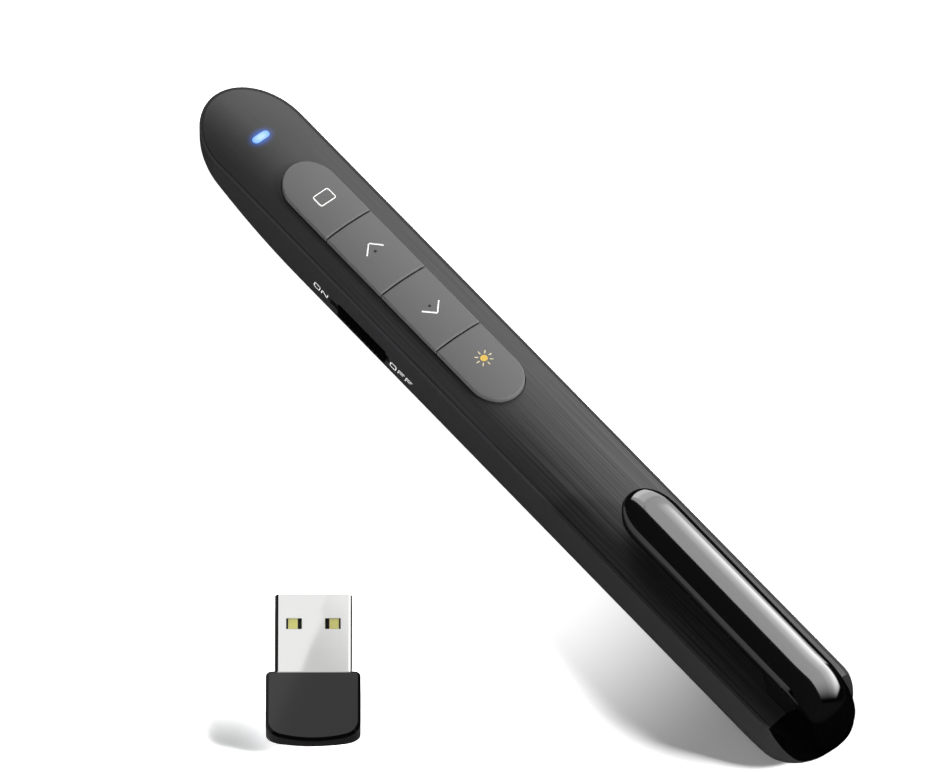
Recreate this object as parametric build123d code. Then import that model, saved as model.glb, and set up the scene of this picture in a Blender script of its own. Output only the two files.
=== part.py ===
from build123d import *
import os
from math import asin, degrees, sqrt

# A slim wireless presentation clicker and its USB receiver, in millimetres.
# The clicker lies on its flat base: +Z up, +Y towards the laser tip, +X to its right.
# The origin is on the resting plane, under the middle of the body.

# ---- Body envelope -------------------------------------------------------------------
BODY_WIDTH = 16.5
TIP_Y = 76.0
TIP_ROUND = 10.75  # length of the half ellipse that ends the plan at the tip
TAIL_ROUND = 7.4  # the same at the tail
RIM_HEIGHT = 12.0  # where the crowned top meets the side walls
CROWN_RISE = 1.35
CORNER_RADIUS = 5.2  # between the base and the side walls
BOW_LENGTH = 30.0  # stretch of the base that rises towards the tip
BOW_RISE = 6.2
TAIL_BOW_LENGTH = 12.0  # the same at the tail
TAIL_BOW_RISE = 2.2
TIP_FALL_LENGTH = 14.0  # stretch of the top that drops towards the tip
TIP_FALL = 1.0
TAIL_ROLL_RADIUS = 8.0  # the top rolls down over the tail
TAIL_ROLL_OVERRUN = 1.0  # how far the roll would reach past the tail
MARGIN = 3.0  # tool solids reach this far past what they cut
TOUCH = 1e-3  # two places this close are the same place

# ---- Shells --------------------------------------------------------------------------
WALL = 1.2
COVER_THICKNESS = 1.2
LIP = 0.45  # the shell's rim that frames the cover
SEAM = 0.08

# ---- Keys ----------------------------------------------------------------------------
ISLAND_WIDTH = 8.8
ISLAND_ROUND = 5.25
ISLAND_SETBACK = 19.05  # from the body's tip to the island's
ISLAND_TAIL_Y = 1.05
KEY_SHARE = 0.2442  # of the island's length, for each of the two middle keys
KEY_GAP = 0.26
KEY_CLEARANCE = 0.15
KEY_RISE = 0.85  # above the crown
KEY_WALL = 1.0
KEY_EDGE_RADIUS = 0.25
KEY_TRAVEL = 0.4
KEY_SKIRT_Z = 11.0
KEY_STEM_RADIUS = 1.2
KEY_NAMES = ("key_screen", "key_page_up", "key_page_down", "key_laser")
FLANGE_REACH = 0.8  # retaining flange beyond the island's side
FLANGE_GAP = 0.1
FLANGE_THICKNESS = 0.7
FLANGE_INSET = 0.6  # from the key's own ends

# ---- Main board and what it carries --------------------------------------------------
BOARD_WIDTH = 12.6
BOARD_THICKNESS = 1.0
BOARD_TOP = 9.2
BOARD_TIP_GAP = 1.2  # from the board to the laser barrel
BOARD_TAIL_REACH = 5.65  # past the island's tail
BOARD_CORNER = 2.0
TACT_SIZE = 4.0
TACT_HEIGHT = 1.3
TACT_PLUNGER_RADIUS = 0.8
TACT_PLUNGER_HEIGHT = 0.4
STEM_PLAY = 0.05  # between a fully pressed stem and its plunger
LED_SETBACK = 1.6  # from the board's tip
LED_SIZE = (1.6, 0.8, 0.6)
LIGHT_PIPE_LENGTH = 3.1  # across the body
LIGHT_PIPE_WIDTH = 1.3
LIGHT_PIPE_FIT = 0.04
LIGHT_PIPE_FOOT = 10.0
LIGHT_PIPE_FLANGE = 0.5
LIGHT_PIPE_PROUD = 0.06
CHIP_SIZE = (5.0, 5.0, 0.9)
CHIP_SETBACK = 10.95  # from the island's tip
CRYSTAL_SIZE = (3.2, 2.5, 0.8)
CRYSTAL_SETBACK = 3.95  # from the island's tip
REGULATOR_SIZE = (2.9, 2.6, 1.1)
REGULATOR_REACH = 4.95  # from the island's tail
BOARD_POST_WIDTH = 3.4
BOARD_SCREW_RADIUS = 0.7
BOARD_SCREW_LENGTH = 3.2
BOARD_SCREW_HEAD_RADIUS = 1.3
BOARD_SCREW_HEAD = 0.9
BOARD_SCREW_REACH = 3.4  # from either end of the island
HOLE_PLAY = 0.1

# ---- Power slider --------------------------------------------------------------------
SLOT_TIP_Y = 37.1
SLOT_TAIL_Y = 22.4
SLOT_HEIGHT = 1.4
SLIDER_Z = 6.75
KNOB_LENGTH = 11.6
KNOB_HEIGHT = 2.7
KNOB_PROUD = 0.45
KNOB_TAIL_GAP = 0.8  # slot left open behind the knob when it is off
KNOB_NECK_LENGTH = 8.0
KNOB_EDGE_RADIUS = 0.3
KNOB_RIB_PITCH = 1.0
KNOB_RIB_DEPTH = 0.2
KNOB_RIB_COUNT = 9
SLIDER_TRAVEL = 2.0
SLIDER_CLEARANCE = 0.1
PLATE_THICKNESS = 0.6
PLATE_LENGTH = 18.0
PLATE_HEIGHT = 2.3
SWITCH_LENGTH = 9.0
SWITCH_DEPTH = 3.6
SWITCH_WALL = 0.5
LEVER_WIDTH = 1.5
LEVER_HEIGHT = 1.2
LEVER_DEPTH = 1.4  # how far the lever reaches into the switch

# ---- Laser ---------------------------------------------------------------------------
LASER_Z = 9.1
LASER_RADIUS = 2.1
LASER_BORE = 1.65
LASER_STOP_BORE = 1.1
LASER_SETBACK = 2.8  # from the body's tip to the barrel
LASER_LENGTH = 5.8
DIODE_LENGTH = 2.3
LENS_LENGTH = 1.1
LENS_DOME = 0.35
OPTIC_FIT = 0.05
PIN_RADIUS = 0.2
PIN_PITCH = 2.2
PIN_LENGTH = 2.2
APERTURE_RADIUS = 1.2
WINDOW_RADIUS = 1.5
WINDOW_THICKNESS = 0.6
TIP_WALL = 1.05

# ---- Battery -------------------------------------------------------------------------
CELL_RADIUS = 5.25  # AAA cell
CELL_LENGTH = 44.5
NUB_RADIUS = 1.9
NUB_LENGTH = 0.8
CELL_SETBACK = 19.05  # from the island's tail to the cell's nub
CELL_END_SETBACK = 13.9  # from the body's tail to the cell's flat end
CELL_LIFT = 0.25  # above the door
CONTACT_SIZE = 8.0
CONTACT_THICKNESS = 0.3
SPRING_LENGTH = 3.4
SPRING_WIRE = 0.5
SPRING_RADIUS = 3.2
SPRING_TURNS = 3
SPRING_BITE = 0.05  # how deep the coil's foot sinks into its plate
BULKHEAD = 1.5
BRIDGE_Z = 3.4
BRIDGE_THICKNESS = 1.6
BRIDGE_LENGTH = 6.6

# ---- Battery door --------------------------------------------------------------------
DOOR_WIDTH = 10.7
DOOR_REACH = 9.5  # past the cell's nub
DOOR_EDGE_Z = 3.0
DOOR_SIDE = 1.1
DOOR_GAP = 0.12
DOOR_TRAVEL = 6.0
TONGUE_REACH = 0.6
TONGUE_THICKNESS = 0.8
TONGUE_TIP_INSET = 1.0
TONGUE_SETBACK = 14.4  # from the body's tail
RAIL_HEIGHT = 3.7
GRIP_COUNT = 6
GRIP_SETBACK = 5.0  # from the door's tip end to the first thumb groove
GRIP_PITCH = 1.2
GRIP_WIDTH = 0.6
GRIP_LENGTH = 6.0
GRIP_DEPTH = 0.3

# ---- Case screws ---------------------------------------------------------------------
CASE_SCREW_RADIUS = 1.0
CASE_SCREW_LENGTH = 7.0
CASE_SCREW_HEAD_RADIUS = 1.8
CASE_SCREW_HEAD = 1.2
CASE_SCREW_REACH = 5.8  # past the cell's nub
CASE_SCREW_SETBACK = 6.0  # from the body's tail
CASE_POST_WIDTH = 4.4
POST_ROUNDING = 0.35  # share of a post's width
SCREW_RECESS_WIDTH = 0.5
SCREW_RECESS_DEPTH = 0.5
SCREW_RECESS_RIM = 0.3  # left of the head beyond the recess

# ---- Clip ----------------------------------------------------------------------------
CLIP_WIDTH = 9.0
CLIP_UNDERSIDE = 17.3
CLIP_CREST = 20.6
CLIP_DOME_RISE = 1.1
CLIP_NOSE_Y = -27.0
CLIP_NOSE_ROUND = 6.3
CLIP_NOSE_DROP = 1.8
CLIP_NOSE_RUN = 4.5
CLIP_NOSE_BEND = 0.3  # share of the drop and the run at the middle of the nose's curve
CLIP_ROOT_SETBACK = 10.4  # from the body's tail
CLIP_ROOT_Z = 20.1
CLIP_SPLIT = 0.12  # between the flexing arm and the part fixed round the tail
CLIP_FOOT_SETBACK = 5.1  # from the nose
CLIP_FOOT_RADIUS = 1.6
CLIP_FOOT_GAP = 0.3
STRAP_OVERHANG = 1.7  # past the body's tail
STRAP_KNEE_SETBACK = 5.9  # from the body's tail to where the shoulder starts
STRAP_END_Z = 11.5
STRAP_FOOT_SETBACK = 0.8  # from the body's tail
STRAP_FOOT_Z = 4.3
STRAP_FOOT_WIDTH = 3.8
STRAP_TAPER_Z = 17.0  # where its sides start to curve inwards
STRAP_SHOULDER = 0.707  # share of the way down and out at the middle of the shoulder's curve
STRAP_BULGE = 0.3
STRAP_BOSS_RADIUS = 2.1
SKIN_THICKNESS = 0.6  # the moulding's skin, let in flush round the body's end
SKIN_LENGTH = 5.7  # at the cover
SKIN_FOOT_LENGTH = 1.4  # at its foot, so that its edge slants
SKIN_FOOT_Z = 4.3

# ---- Receiver ------------------------------------------------------------------------
RECEIVER_PLACE = (-61.6, -25.1)  # middle of the cap's closed end
RECEIVER_TURN = -38.9
PLUG_WIDTH = 12.0
PLUG_HEIGHT = 4.5
PLUG_SHEET = 0.3
PLUG_CORNER = 0.6
PLUG_EXPOSED = 14.6
PLUG_HIDDEN = 6.5
WINDOW_SIZE = (2.46, 1.98)
WINDOW_OFFSET = 3.0
WINDOW_FROM_END = 5.45
CAP_WIDTH = 14.7
CAP_LENGTH = 12.9
CAP_THICKNESS = 6.3
CAP_TAPER = (6.8, 4.4)  # length and depth of the slope under the closed end
CAP_END_BULGE = 1.5
CAP_CORNER = 3.0  # at the closed end
CAP_MOUTH_CORNER = 0.9
CAP_EDGE = 0.45
CAP_FLOOR = 6.2
CAP_BOARD_FLOOR = 3.6  # how far the board's own pocket reaches
CAP_BOARD_PLAY = 0.2
CAP_FIT = 0.05
TONGUE_BAR_THICKNESS = 1.84
TONGUE_BAR_END_INSET = 0.3
TONGUE_BAR_LENGTH = 18.0
CONTACT_BAR_WIDTH = 1.5
CONTACT_BAR_THICKNESS = 0.15
CONTACT_XS = (-3.2, -1.07, 1.07, 3.2)
CONTACT_END_INSET = 0.8
INNER_CONTACT_SETBACK = 1.0
CONTACT_BAR_LENGTH = 16.5
STICK_BOARD_SIZE = (10.8, 9.0, 0.8)
STICK_BOARD_Y = 3.9
STICK_CHIP_SIZE = (4.0, 4.0, 0.8)
STICK_CHIP_OFFSET = 3.2
STICK_CRYSTAL_SIZE = (2.0, 1.6, 0.5)

# ---- Worked out from the sizes above -------------------------------------------------
CROWN_TOP = RIM_HEIGHT + CROWN_RISE
HALF_WIDTH = BODY_WIDTH / 2
CELL_TIP_Y = ISLAND_TAIL_Y - CELL_SETBACK
CELL_TAIL_Y = CELL_TIP_Y - CELL_LENGTH
TAIL_Y = CELL_TAIL_Y - CELL_END_SETBACK
TAIL_CENTRE_Y = TAIL_Y + TAIL_ROUND
ISLAND_TIP_Y = TIP_Y - ISLAND_SETBACK
ISLAND_LENGTH = ISLAND_TIP_Y - ISLAND_TAIL_Y
LASER_TIP_Y = TIP_Y - LASER_SETBACK
LASER_TAIL_Y = LASER_TIP_Y - LASER_LENGTH
BOARD_TIP_Y = LASER_TAIL_Y - BOARD_TIP_GAP
BOARD_TAIL_Y = ISLAND_TAIL_Y - BOARD_TAIL_REACH
BOARD_SCREW_YS = (ISLAND_TIP_Y + BOARD_SCREW_REACH, ISLAND_TAIL_Y - BOARD_SCREW_REACH)
LED_Y = BOARD_TIP_Y - LED_SETBACK
BOW_START_Y = TIP_Y - BOW_LENGTH
TAIL_BOW_START_Y = TAIL_Y + TAIL_BOW_LENGTH
ROLL_Y = TAIL_Y - TAIL_ROLL_OVERRUN + TAIL_ROLL_RADIUS
ROLL_Z = CROWN_TOP - TAIL_ROLL_RADIUS
FALL_Y = TIP_Y - TIP_FALL_LENGTH
REACH = HALF_WIDTH + MARGIN
CEILING = CLIP_CREST + MARGIN
BOARD_BOTTOM = BOARD_TOP - BOARD_THICKNESS
PLUNGER_TOP = BOARD_TOP + TACT_HEIGHT + TACT_PLUNGER_HEIGHT
KEY_STEM_Z = PLUNGER_TOP + KEY_TRAVEL + STEM_PLAY
CELL_Z = WALL + CELL_LIFT + CELL_RADIUS
SPRING_PLATE_Y = CELL_TAIL_Y - SPRING_LENGTH - CONTACT_THICKNESS
DOOR_TIP_Y = CELL_TIP_Y + DOOR_REACH
TONGUE_TAIL_Y = TAIL_Y + TONGUE_SETBACK
CASE_SCREW_YS = (CELL_TIP_Y + CASE_SCREW_REACH, TAIL_Y + CASE_SCREW_SETBACK)
CLIP_ROOT_Y = TAIL_Y + CLIP_ROOT_SETBACK
CLIP_FOOT_Y = CLIP_NOSE_Y - CLIP_FOOT_SETBACK
STRAP_END_Y = TAIL_Y - STRAP_OVERHANG
STRAP_FOOT_Y = TAIL_Y + STRAP_FOOT_SETBACK
STRAP_KNEE_Y = TAIL_Y + STRAP_KNEE_SETBACK
KNOB_TAIL_Y = SLOT_TAIL_Y + KNOB_TAIL_GAP
KNOB_Y = KNOB_TAIL_Y + KNOB_LENGTH / 2
INNER_WALL_X = HALF_WIDTH - WALL
PLATE_X = INNER_WALL_X - SLIDER_CLEARANCE - PLATE_THICKNESS
PLUG_Z = CAP_THICKNESS / 2
PLUG_END_Y = CAP_LENGTH + PLUG_EXPOSED
TONGUE_BAR_TOP = PLUG_Z - PLUG_HEIGHT / 2 + PLUG_SHEET + TONGUE_BAR_THICKNESS
STICK_BOARD_FLOOR = TONGUE_BAR_TOP + CONTACT_BAR_THICKNESS


def arc_radius(half_chord, rise):
    """Radius of the arc that rises by rise over half its chord."""
    return (half_chord**2 + rise**2) / (2 * rise)


CROWN_RADIUS = arc_radius(HALF_WIDTH, CROWN_RISE)
BOW_RADIUS = arc_radius(BOW_LENGTH, BOW_RISE)
TAIL_BOW_RADIUS = arc_radius(TAIL_BOW_LENGTH, TAIL_BOW_RISE)
FALL_RADIUS = arc_radius(TIP_FALL_LENGTH, TIP_FALL)


# ---- Helpers -------------------------------------------------------------------------
def block(x, y, z):
    """A box from its lowest and highest values along each axis."""
    size = (x[1] - x[0], y[1] - y[0], z[1] - z[0])
    return Pos(x[0], y[0], z[0]) * Box(*size, align=(Align.MIN,) * 3)


def peg(radius, x, y, z):
    """An upright cylinder between two heights."""
    base = (Align.CENTER, Align.CENTER, Align.MIN)
    return Pos(x, y, z[0]) * Cylinder(radius, z[1] - z[0], align=base)


def rod(radius, x, y, z):
    """A cylinder along Y between two places."""
    base = (Align.CENTER, Align.CENTER, Align.MIN)
    return Pos(x, y[0], z) * Rot(-90, 0, 0) * Cylinder(radius, y[1] - y[0], align=base)


def prism(face, low, high):
    """A face drawn on the XY plane, extruded between two heights."""
    return Pos(0, 0, low) * extrude(face, high - low)


def arch_section(top, radius, y, floor):
    """An upright face across the body at y, flat below and arched above."""
    edge = top - radius + sqrt(radius**2 - REACH**2)
    corners = [(-REACH, y, edge), (-REACH, y, floor), (REACH, y, floor), (REACH, y, edge)]
    outline = Polyline(*corners) + ThreePointArc(corners[-1], (0, y, top), corners[0])
    return Face(Wire(outline.edges()))


def long_outline(half_width, tip, tip_round, tail, tail_round):
    """A plan outline with straight sides and an elliptical end at each end."""
    tip_centre = tip - tip_round
    tail_centre = tail + tail_round
    sides = Rectangle(2 * half_width, tip_centre - tail_centre)
    outline = Pos(0, (tip_centre + tail_centre) / 2) * sides
    outline += Pos(0, tip_centre) * Ellipse(half_width, tip_round)
    outline += Pos(0, tail_centre) * Ellipse(half_width, tail_round)
    return outline


def body_plan(inset):
    """The body's plan outline, moved inwards."""
    tip = TIP_Y - inset
    tail = TAIL_Y + inset
    return long_outline(HALF_WIDTH - inset, tip, TIP_ROUND - inset, tail, TAIL_ROUND - inset)


def island_plan(grow):
    """The outline shared by the four keys, moved outwards."""
    half = ISLAND_WIDTH / 2 + grow
    tip = ISLAND_TIP_Y + grow
    tail = ISLAND_TAIL_Y - grow
    return long_outline(half, tip, ISLAND_ROUND + grow, tail, ISLAND_ROUND + grow)


def below_crown(drop):
    """Everything under the crowned top surface, which is lowered by drop."""
    top = CROWN_TOP - drop
    radius = CROWN_RADIUS - drop
    straight = Solid.extrude(arch_section(top, radius, ROLL_Y, -MARGIN), Vector(0, FALL_Y - ROLL_Y, 0))
    fall_axis = Axis((0, FALL_Y, CROWN_TOP - FALL_RADIUS), (-1, 0, 0))
    fall_angle = degrees(asin((TIP_FALL_LENGTH + MARGIN) / (FALL_RADIUS - CROWN_TOP - MARGIN)))
    fall = Solid.revolve(arch_section(top, radius, FALL_Y, -MARGIN), fall_angle, fall_axis)
    roll_axis = Axis((0, ROLL_Y, ROLL_Z), (1, 0, 0))
    roll = Solid.revolve(arch_section(top, radius, ROLL_Y, ROLL_Z), 90, roll_axis)
    roll_reach = TAIL_ROLL_RADIUS - drop
    foot = block((-REACH, REACH), (ROLL_Y - roll_reach, ROLL_Y), (-MARGIN, ROLL_Z))
    return Part() + [straight, fall, roll, foot]


def base_height(y, inset):
    """Height of the base surface at y, moved inwards."""
    if y > BOW_START_Y:
        return BOW_RADIUS - sqrt((BOW_RADIUS - inset) ** 2 - (y - BOW_START_Y) ** 2)
    if y < TAIL_BOW_START_Y:
        return TAIL_BOW_RADIUS - sqrt((TAIL_BOW_RADIUS - inset) ** 2 - (TAIL_BOW_START_Y - y) ** 2)
    return inset


def above_base(inset):
    """Everything above the base: flat, and rising in an arc towards either end."""

    def place(y):
        return (-REACH, y, base_height(y, inset))

    tip = TIP_Y + MARGIN
    tail = TAIL_Y - MARGIN
    outline = Polyline(place(tip), (-REACH, tip, CEILING), (-REACH, tail, CEILING), place(tail))
    outline += ThreePointArc(place(tail), place((tail + TAIL_BOW_START_Y) / 2), place(TAIL_BOW_START_Y))
    outline += Line(place(TAIL_BOW_START_Y), place(BOW_START_Y))
    outline += ThreePointArc(place(BOW_START_Y), place((BOW_START_Y + tip) / 2), place(tip))
    return Solid.extrude(Face(Wire(outline.edges())), Vector(2 * REACH, 0, 0))


def envelope(inset):
    """The body's outer form, moved inwards, with its base corners rounded."""
    form = prism(body_plan(inset), -MARGIN, CEILING) & below_crown(inset) & above_base(inset)

    def on_base(edge):
        middle = edge.position_at(0.5)
        across = abs(edge.tangent_at(0.5).X) > 1 - TOUCH
        bow_starts = (TAIL_BOW_START_Y, BOW_START_Y)
        crease = across and min(abs(middle.Y - start) for start in bow_starts) < TOUCH
        return abs(middle.Z - base_height(middle.Y, inset)) < TOUCH and not crease

    return fillet([edge for edge in form.edges() if on_base(edge)], CORNER_RADIUS - inset)


# ---- Shells --------------------------------------------------------------------------
def rail(side):
    """A solid beam along one side of the door opening."""
    x = sorted((side * (DOOR_WIDTH / 2 + DOOR_GAP), side * HALF_WIDTH))
    return block(x, (TAIL_Y, DOOR_TIP_Y + BULKHEAD), (0, RAIL_HEIGHT)) & ENVELOPE


def door_grooves():
    """The grooves that the door's tongues slide in, one in each rail."""
    half = DOOR_WIDTH / 2 + DOOR_GAP + TONGUE_REACH
    y = (TONGUE_TAIL_Y - DOOR_TRAVEL - DOOR_GAP, DOOR_TIP_Y)
    return block((-half, half), y, (DOOR_EDGE_Z - TONGUE_THICKNESS - DOOR_GAP, DOOR_EDGE_Z + DOOR_GAP))


def crosswall(y):
    """A wall across the inside of the shell, clear of the cover above it."""
    wall = block((-HALF_WIDTH, HALF_WIDTH), y, (BRIDGE_Z, CEILING))
    return wall & HALF_WALL & below_crown(COVER_THICKNESS + 2 * SEAM)


def bridge(screw_y):
    """A shelf across the shell that one case screw pulls on."""
    span_y = (screw_y - BRIDGE_LENGTH / 2, screw_y + BRIDGE_LENGTH / 2)
    shelf = block((-HALF_WIDTH, HALF_WIDTH), span_y, (BRIDGE_Z, BRIDGE_Z + BRIDGE_THICKNESS))
    hole = peg(CASE_SCREW_RADIUS + HOLE_PLAY, 0, screw_y, (0, CEILING))
    return (shelf & HALF_WALL) - hole


def door_opening():
    """The space that the battery door fills in the base."""
    half = DOOR_WIDTH / 2 + DOOR_GAP
    return block((-half, half), (TAIL_Y - MARGIN, DOOR_TIP_Y), (-MARGIN, DOOR_EDGE_Z + DOOR_GAP))


def end_skin(play):
    """The skin round the body's end, grown into the casing by a play."""
    foot_z = SKIN_FOOT_Z - play
    foot = (TAIL_Y + SKIN_FOOT_LENGTH + play, foot_z)
    knee = (TAIL_Y + SKIN_LENGTH + play, RIM_HEIGHT)
    top = (TAIL_Y + SKIN_LENGTH + play, CEILING)
    outer = [(TAIL_Y - MARGIN, CEILING), (TAIL_Y - MARGIN, foot_z)]
    zone = side_prism(Polyline(foot, knee, top, *outer, close=True), REACH)
    return (ENVELOPE - envelope(SKIN_THICKNESS + play)) & zone


def laser_seat():
    """The stepped bore in the tip that holds the laser module and its window."""
    seat = rod(LASER_RADIUS + HOLE_PLAY, 0, (LASER_TAIL_Y - MARGIN, LASER_TIP_Y + HOLE_PLAY), LASER_Z)
    seat += rod(WINDOW_RADIUS + OPTIC_FIT, 0, (LASER_TIP_Y, TIP_Y - TIP_WALL), LASER_Z)
    seat += rod(APERTURE_RADIUS, 0, (LASER_TIP_Y, TIP_Y + MARGIN), LASER_Z)
    return seat


def bottom_shell():
    """The lower casing: base, side walls, rim, battery bay and door rails."""
    shell = ENVELOPE - CAVITY
    shell -= prism(body_plan(LIP), -MARGIN, CEILING) - below_crown(COVER_THICKNESS + SEAM)
    shell -= door_opening()
    shell += [rail(-1), rail(1)]
    contact_y = CELL_TIP_Y + CONTACT_THICKNESS
    shell += crosswall((contact_y, contact_y + BULKHEAD))
    shell += crosswall((SPRING_PLATE_Y - BULKHEAD, SPRING_PLATE_Y))
    shell += [bridge(y) for y in CASE_SCREW_YS]
    shell -= door_grooves()
    slot = (SLIDER_Z - SLOT_HEIGHT / 2, SLIDER_Z + SLOT_HEIGHT / 2)
    shell -= block((-REACH, -INNER_WALL_X / 2), (SLOT_TAIL_Y, SLOT_TIP_Y), slot)
    return shell - laser_seat() - end_skin(SEAM)


def post(width, y, foot):
    """A square post with rounded corners, from a foot height upwards."""
    return prism(Pos(0, y) * RectangleRounded(width, width, width * POST_ROUNDING), foot, CEILING)


def cover_posts():
    """The solid posts that hang from the cover, one for each screw that enters it."""
    posts = post(CASE_POST_WIDTH, CASE_SCREW_YS[0], BRIDGE_Z + BRIDGE_THICKNESS)
    return posts + [post(BOARD_POST_WIDTH, y, BOARD_TOP) for y in BOARD_SCREW_YS]


def top_cover():
    """The crowned upper casing, open for the keys, the light pipe and the clip's boss."""
    cover = prism(body_plan(LIP + SEAM), -MARGIN, CEILING) & below_crown(0)
    cover -= below_crown(COVER_THICKNESS) - cover_posts()
    for y in BOARD_SCREW_YS:
        cover -= peg(BOARD_SCREW_RADIUS, 0, y, (0, BOARD_BOTTOM + BOARD_SCREW_LENGTH))
    cover -= peg(CASE_SCREW_RADIUS, 0, CASE_SCREW_YS[0], (0, BRIDGE_Z + CASE_SCREW_LENGTH))
    cover -= prism(island_plan(KEY_CLEARANCE), 0, CEILING)
    cover -= light_pipe_prism(LIGHT_PIPE_FIT, 0, CEILING)
    cover -= peg(STRAP_BOSS_RADIUS + HOLE_PLAY, 0, CASE_SCREW_YS[1], (0, CEILING))
    return cover - end_skin(SEAM)


# ---- Keys ----------------------------------------------------------------------------
def key(tail, tip):
    """One key cap between two gaps, with its retaining flanges and its stem."""
    half_gap = KEY_GAP / 2
    tail_cut = tail + half_gap if tail > ISLAND_TAIL_Y else tail - MARGIN
    tip_cut = tip - half_gap if tip < ISLAND_TIP_Y else tip + MARGIN
    stretch = block((-REACH, REACH), (tail_cut, tip_cut), (0, CEILING))
    cap = prism(island_plan(0), KEY_SKIRT_Z, CEILING) & below_crown(-KEY_RISE) & stretch
    cap = fillet([edge for edge in cap.edges() if edge.center().Z > CROWN_TOP], KEY_EDGE_RADIUS)
    inner_tail = max(tail_cut, tail) + KEY_WALL
    inner_tip = min(tip_cut, tip) - KEY_WALL
    hollow = prism(island_plan(-KEY_WALL), 0, CEILING) & below_crown(KEY_WALL - KEY_RISE)
    cap -= hollow & block((-REACH, REACH), (inner_tail, inner_tip), (0, CEILING))
    flange_tail = max(tail_cut + FLANGE_INSET, ISLAND_TAIL_Y + ISLAND_ROUND)
    flange_tip = min(tip_cut - FLANGE_INSET, ISLAND_TIP_Y - ISLAND_ROUND)
    half = ISLAND_WIDTH / 2
    drop = COVER_THICKNESS + FLANGE_GAP
    for side in (-1, 1):
        x = sorted((side * (half - KEY_WALL), side * (half + FLANGE_REACH)))
        ledge = block(x, (flange_tail, flange_tip), (0, CEILING)) & below_crown(drop)
        cap += ledge - below_crown(drop + FLANGE_THICKNESS)
    middle = (max(tail_cut, tail) + min(tip_cut, tip)) / 2
    stem = peg(KEY_STEM_RADIUS, 0, middle, (KEY_STEM_Z, CEILING))
    return cap + (stem & below_crown(-KEY_RISE / 2))


def key_spans():
    """The two ends of each key along the island, from the tip backwards."""
    middle = ISLAND_TAIL_Y + ISLAND_LENGTH / 2
    pitch = ISLAND_LENGTH * KEY_SHARE
    ends = (ISLAND_TIP_Y, middle + pitch, middle, middle - pitch, ISLAND_TAIL_Y)
    return [(tail, tip) for tip, tail in zip(ends, ends[1:])]


def tact_switches():
    """One small push switch under the middle of each key."""
    switches = []
    for tail, tip in key_spans():
        middle = (tail + tip) / 2
        base = board_part((TACT_SIZE, TACT_SIZE, TACT_HEIGHT), middle, True)
        switch = base + peg(TACT_PLUNGER_RADIUS, 0, middle, (BOARD_TOP, PLUNGER_TOP))
        switches.append(switch.solid())
    return Compound(children=switches)


# ---- Board and its parts -------------------------------------------------------------
def main_board():
    """The printed circuit board, with holes for its two screws."""
    half = BOARD_WIDTH / 2
    board = block((-half, half), (BOARD_TAIL_Y, BOARD_TIP_Y), (BOARD_BOTTOM, BOARD_TOP))
    corners = board.edges().filter_by(Axis.Z)
    board = fillet(corners, BOARD_CORNER)
    for y in BOARD_SCREW_YS:
        board -= peg(BOARD_SCREW_RADIUS + HOLE_PLAY, 0, y, (0, CEILING))
    return board


def board_part(size, y, up):
    """A small rectangular component on the board's upper or lower face."""
    z = (BOARD_TOP, BOARD_TOP + size[2]) if up else (BOARD_BOTTOM - size[2], BOARD_BOTTOM)
    return block((-size[0] / 2, size[0] / 2), (y - size[1] / 2, y + size[1] / 2), z)


def screw(radius, length, head_radius, head, y, seat):
    """An upright screw whose head is below its seat, with a cross recess."""
    face = seat - head
    body = peg(head_radius, 0, y, (face, seat)) + peg(radius, 0, y, (face, seat + length))
    arm = head_radius - SCREW_RECESS_RIM
    half = SCREW_RECESS_WIDTH / 2
    depth = (face, face + SCREW_RECESS_DEPTH)
    body -= block((-arm, arm), (y - half, y + half), depth)
    body -= block((-half, half), (y - arm, y + arm), depth)
    return body.solid()


def board_screws():
    """The two screws that hold the board to the cover."""
    size = (BOARD_SCREW_RADIUS, BOARD_SCREW_LENGTH, BOARD_SCREW_HEAD_RADIUS, BOARD_SCREW_HEAD)
    return Compound(children=[screw(*size, y, BOARD_BOTTOM) for y in BOARD_SCREW_YS])


def case_screws():
    """The two screws under the battery door that hold the casing together."""
    size = (CASE_SCREW_RADIUS, CASE_SCREW_LENGTH, CASE_SCREW_HEAD_RADIUS, CASE_SCREW_HEAD)
    return Compound(children=[screw(*size, y, BRIDGE_Z) for y in CASE_SCREW_YS])


def light_pipe_prism(grow, low, high):
    """The light pipe's slot-shaped section between two heights."""
    slot = SlotOverall(LIGHT_PIPE_LENGTH + 2 * grow, LIGHT_PIPE_WIDTH + 2 * grow)
    return prism(Pos(0, LED_Y) * slot, low, high)


def light_pipe():
    """The clear pipe that carries the status light up to the cover's face."""
    pipe = light_pipe_prism(0, LIGHT_PIPE_FOOT, CEILING) & below_crown(-LIGHT_PIPE_PROUD)
    collar = light_pipe_prism(LIGHT_PIPE_FLANGE, 0, CEILING) & below_crown(COVER_THICKNESS + SEAM)
    return pipe + (collar - below_crown(COVER_THICKNESS + SEAM + LIGHT_PIPE_FLANGE))


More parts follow.
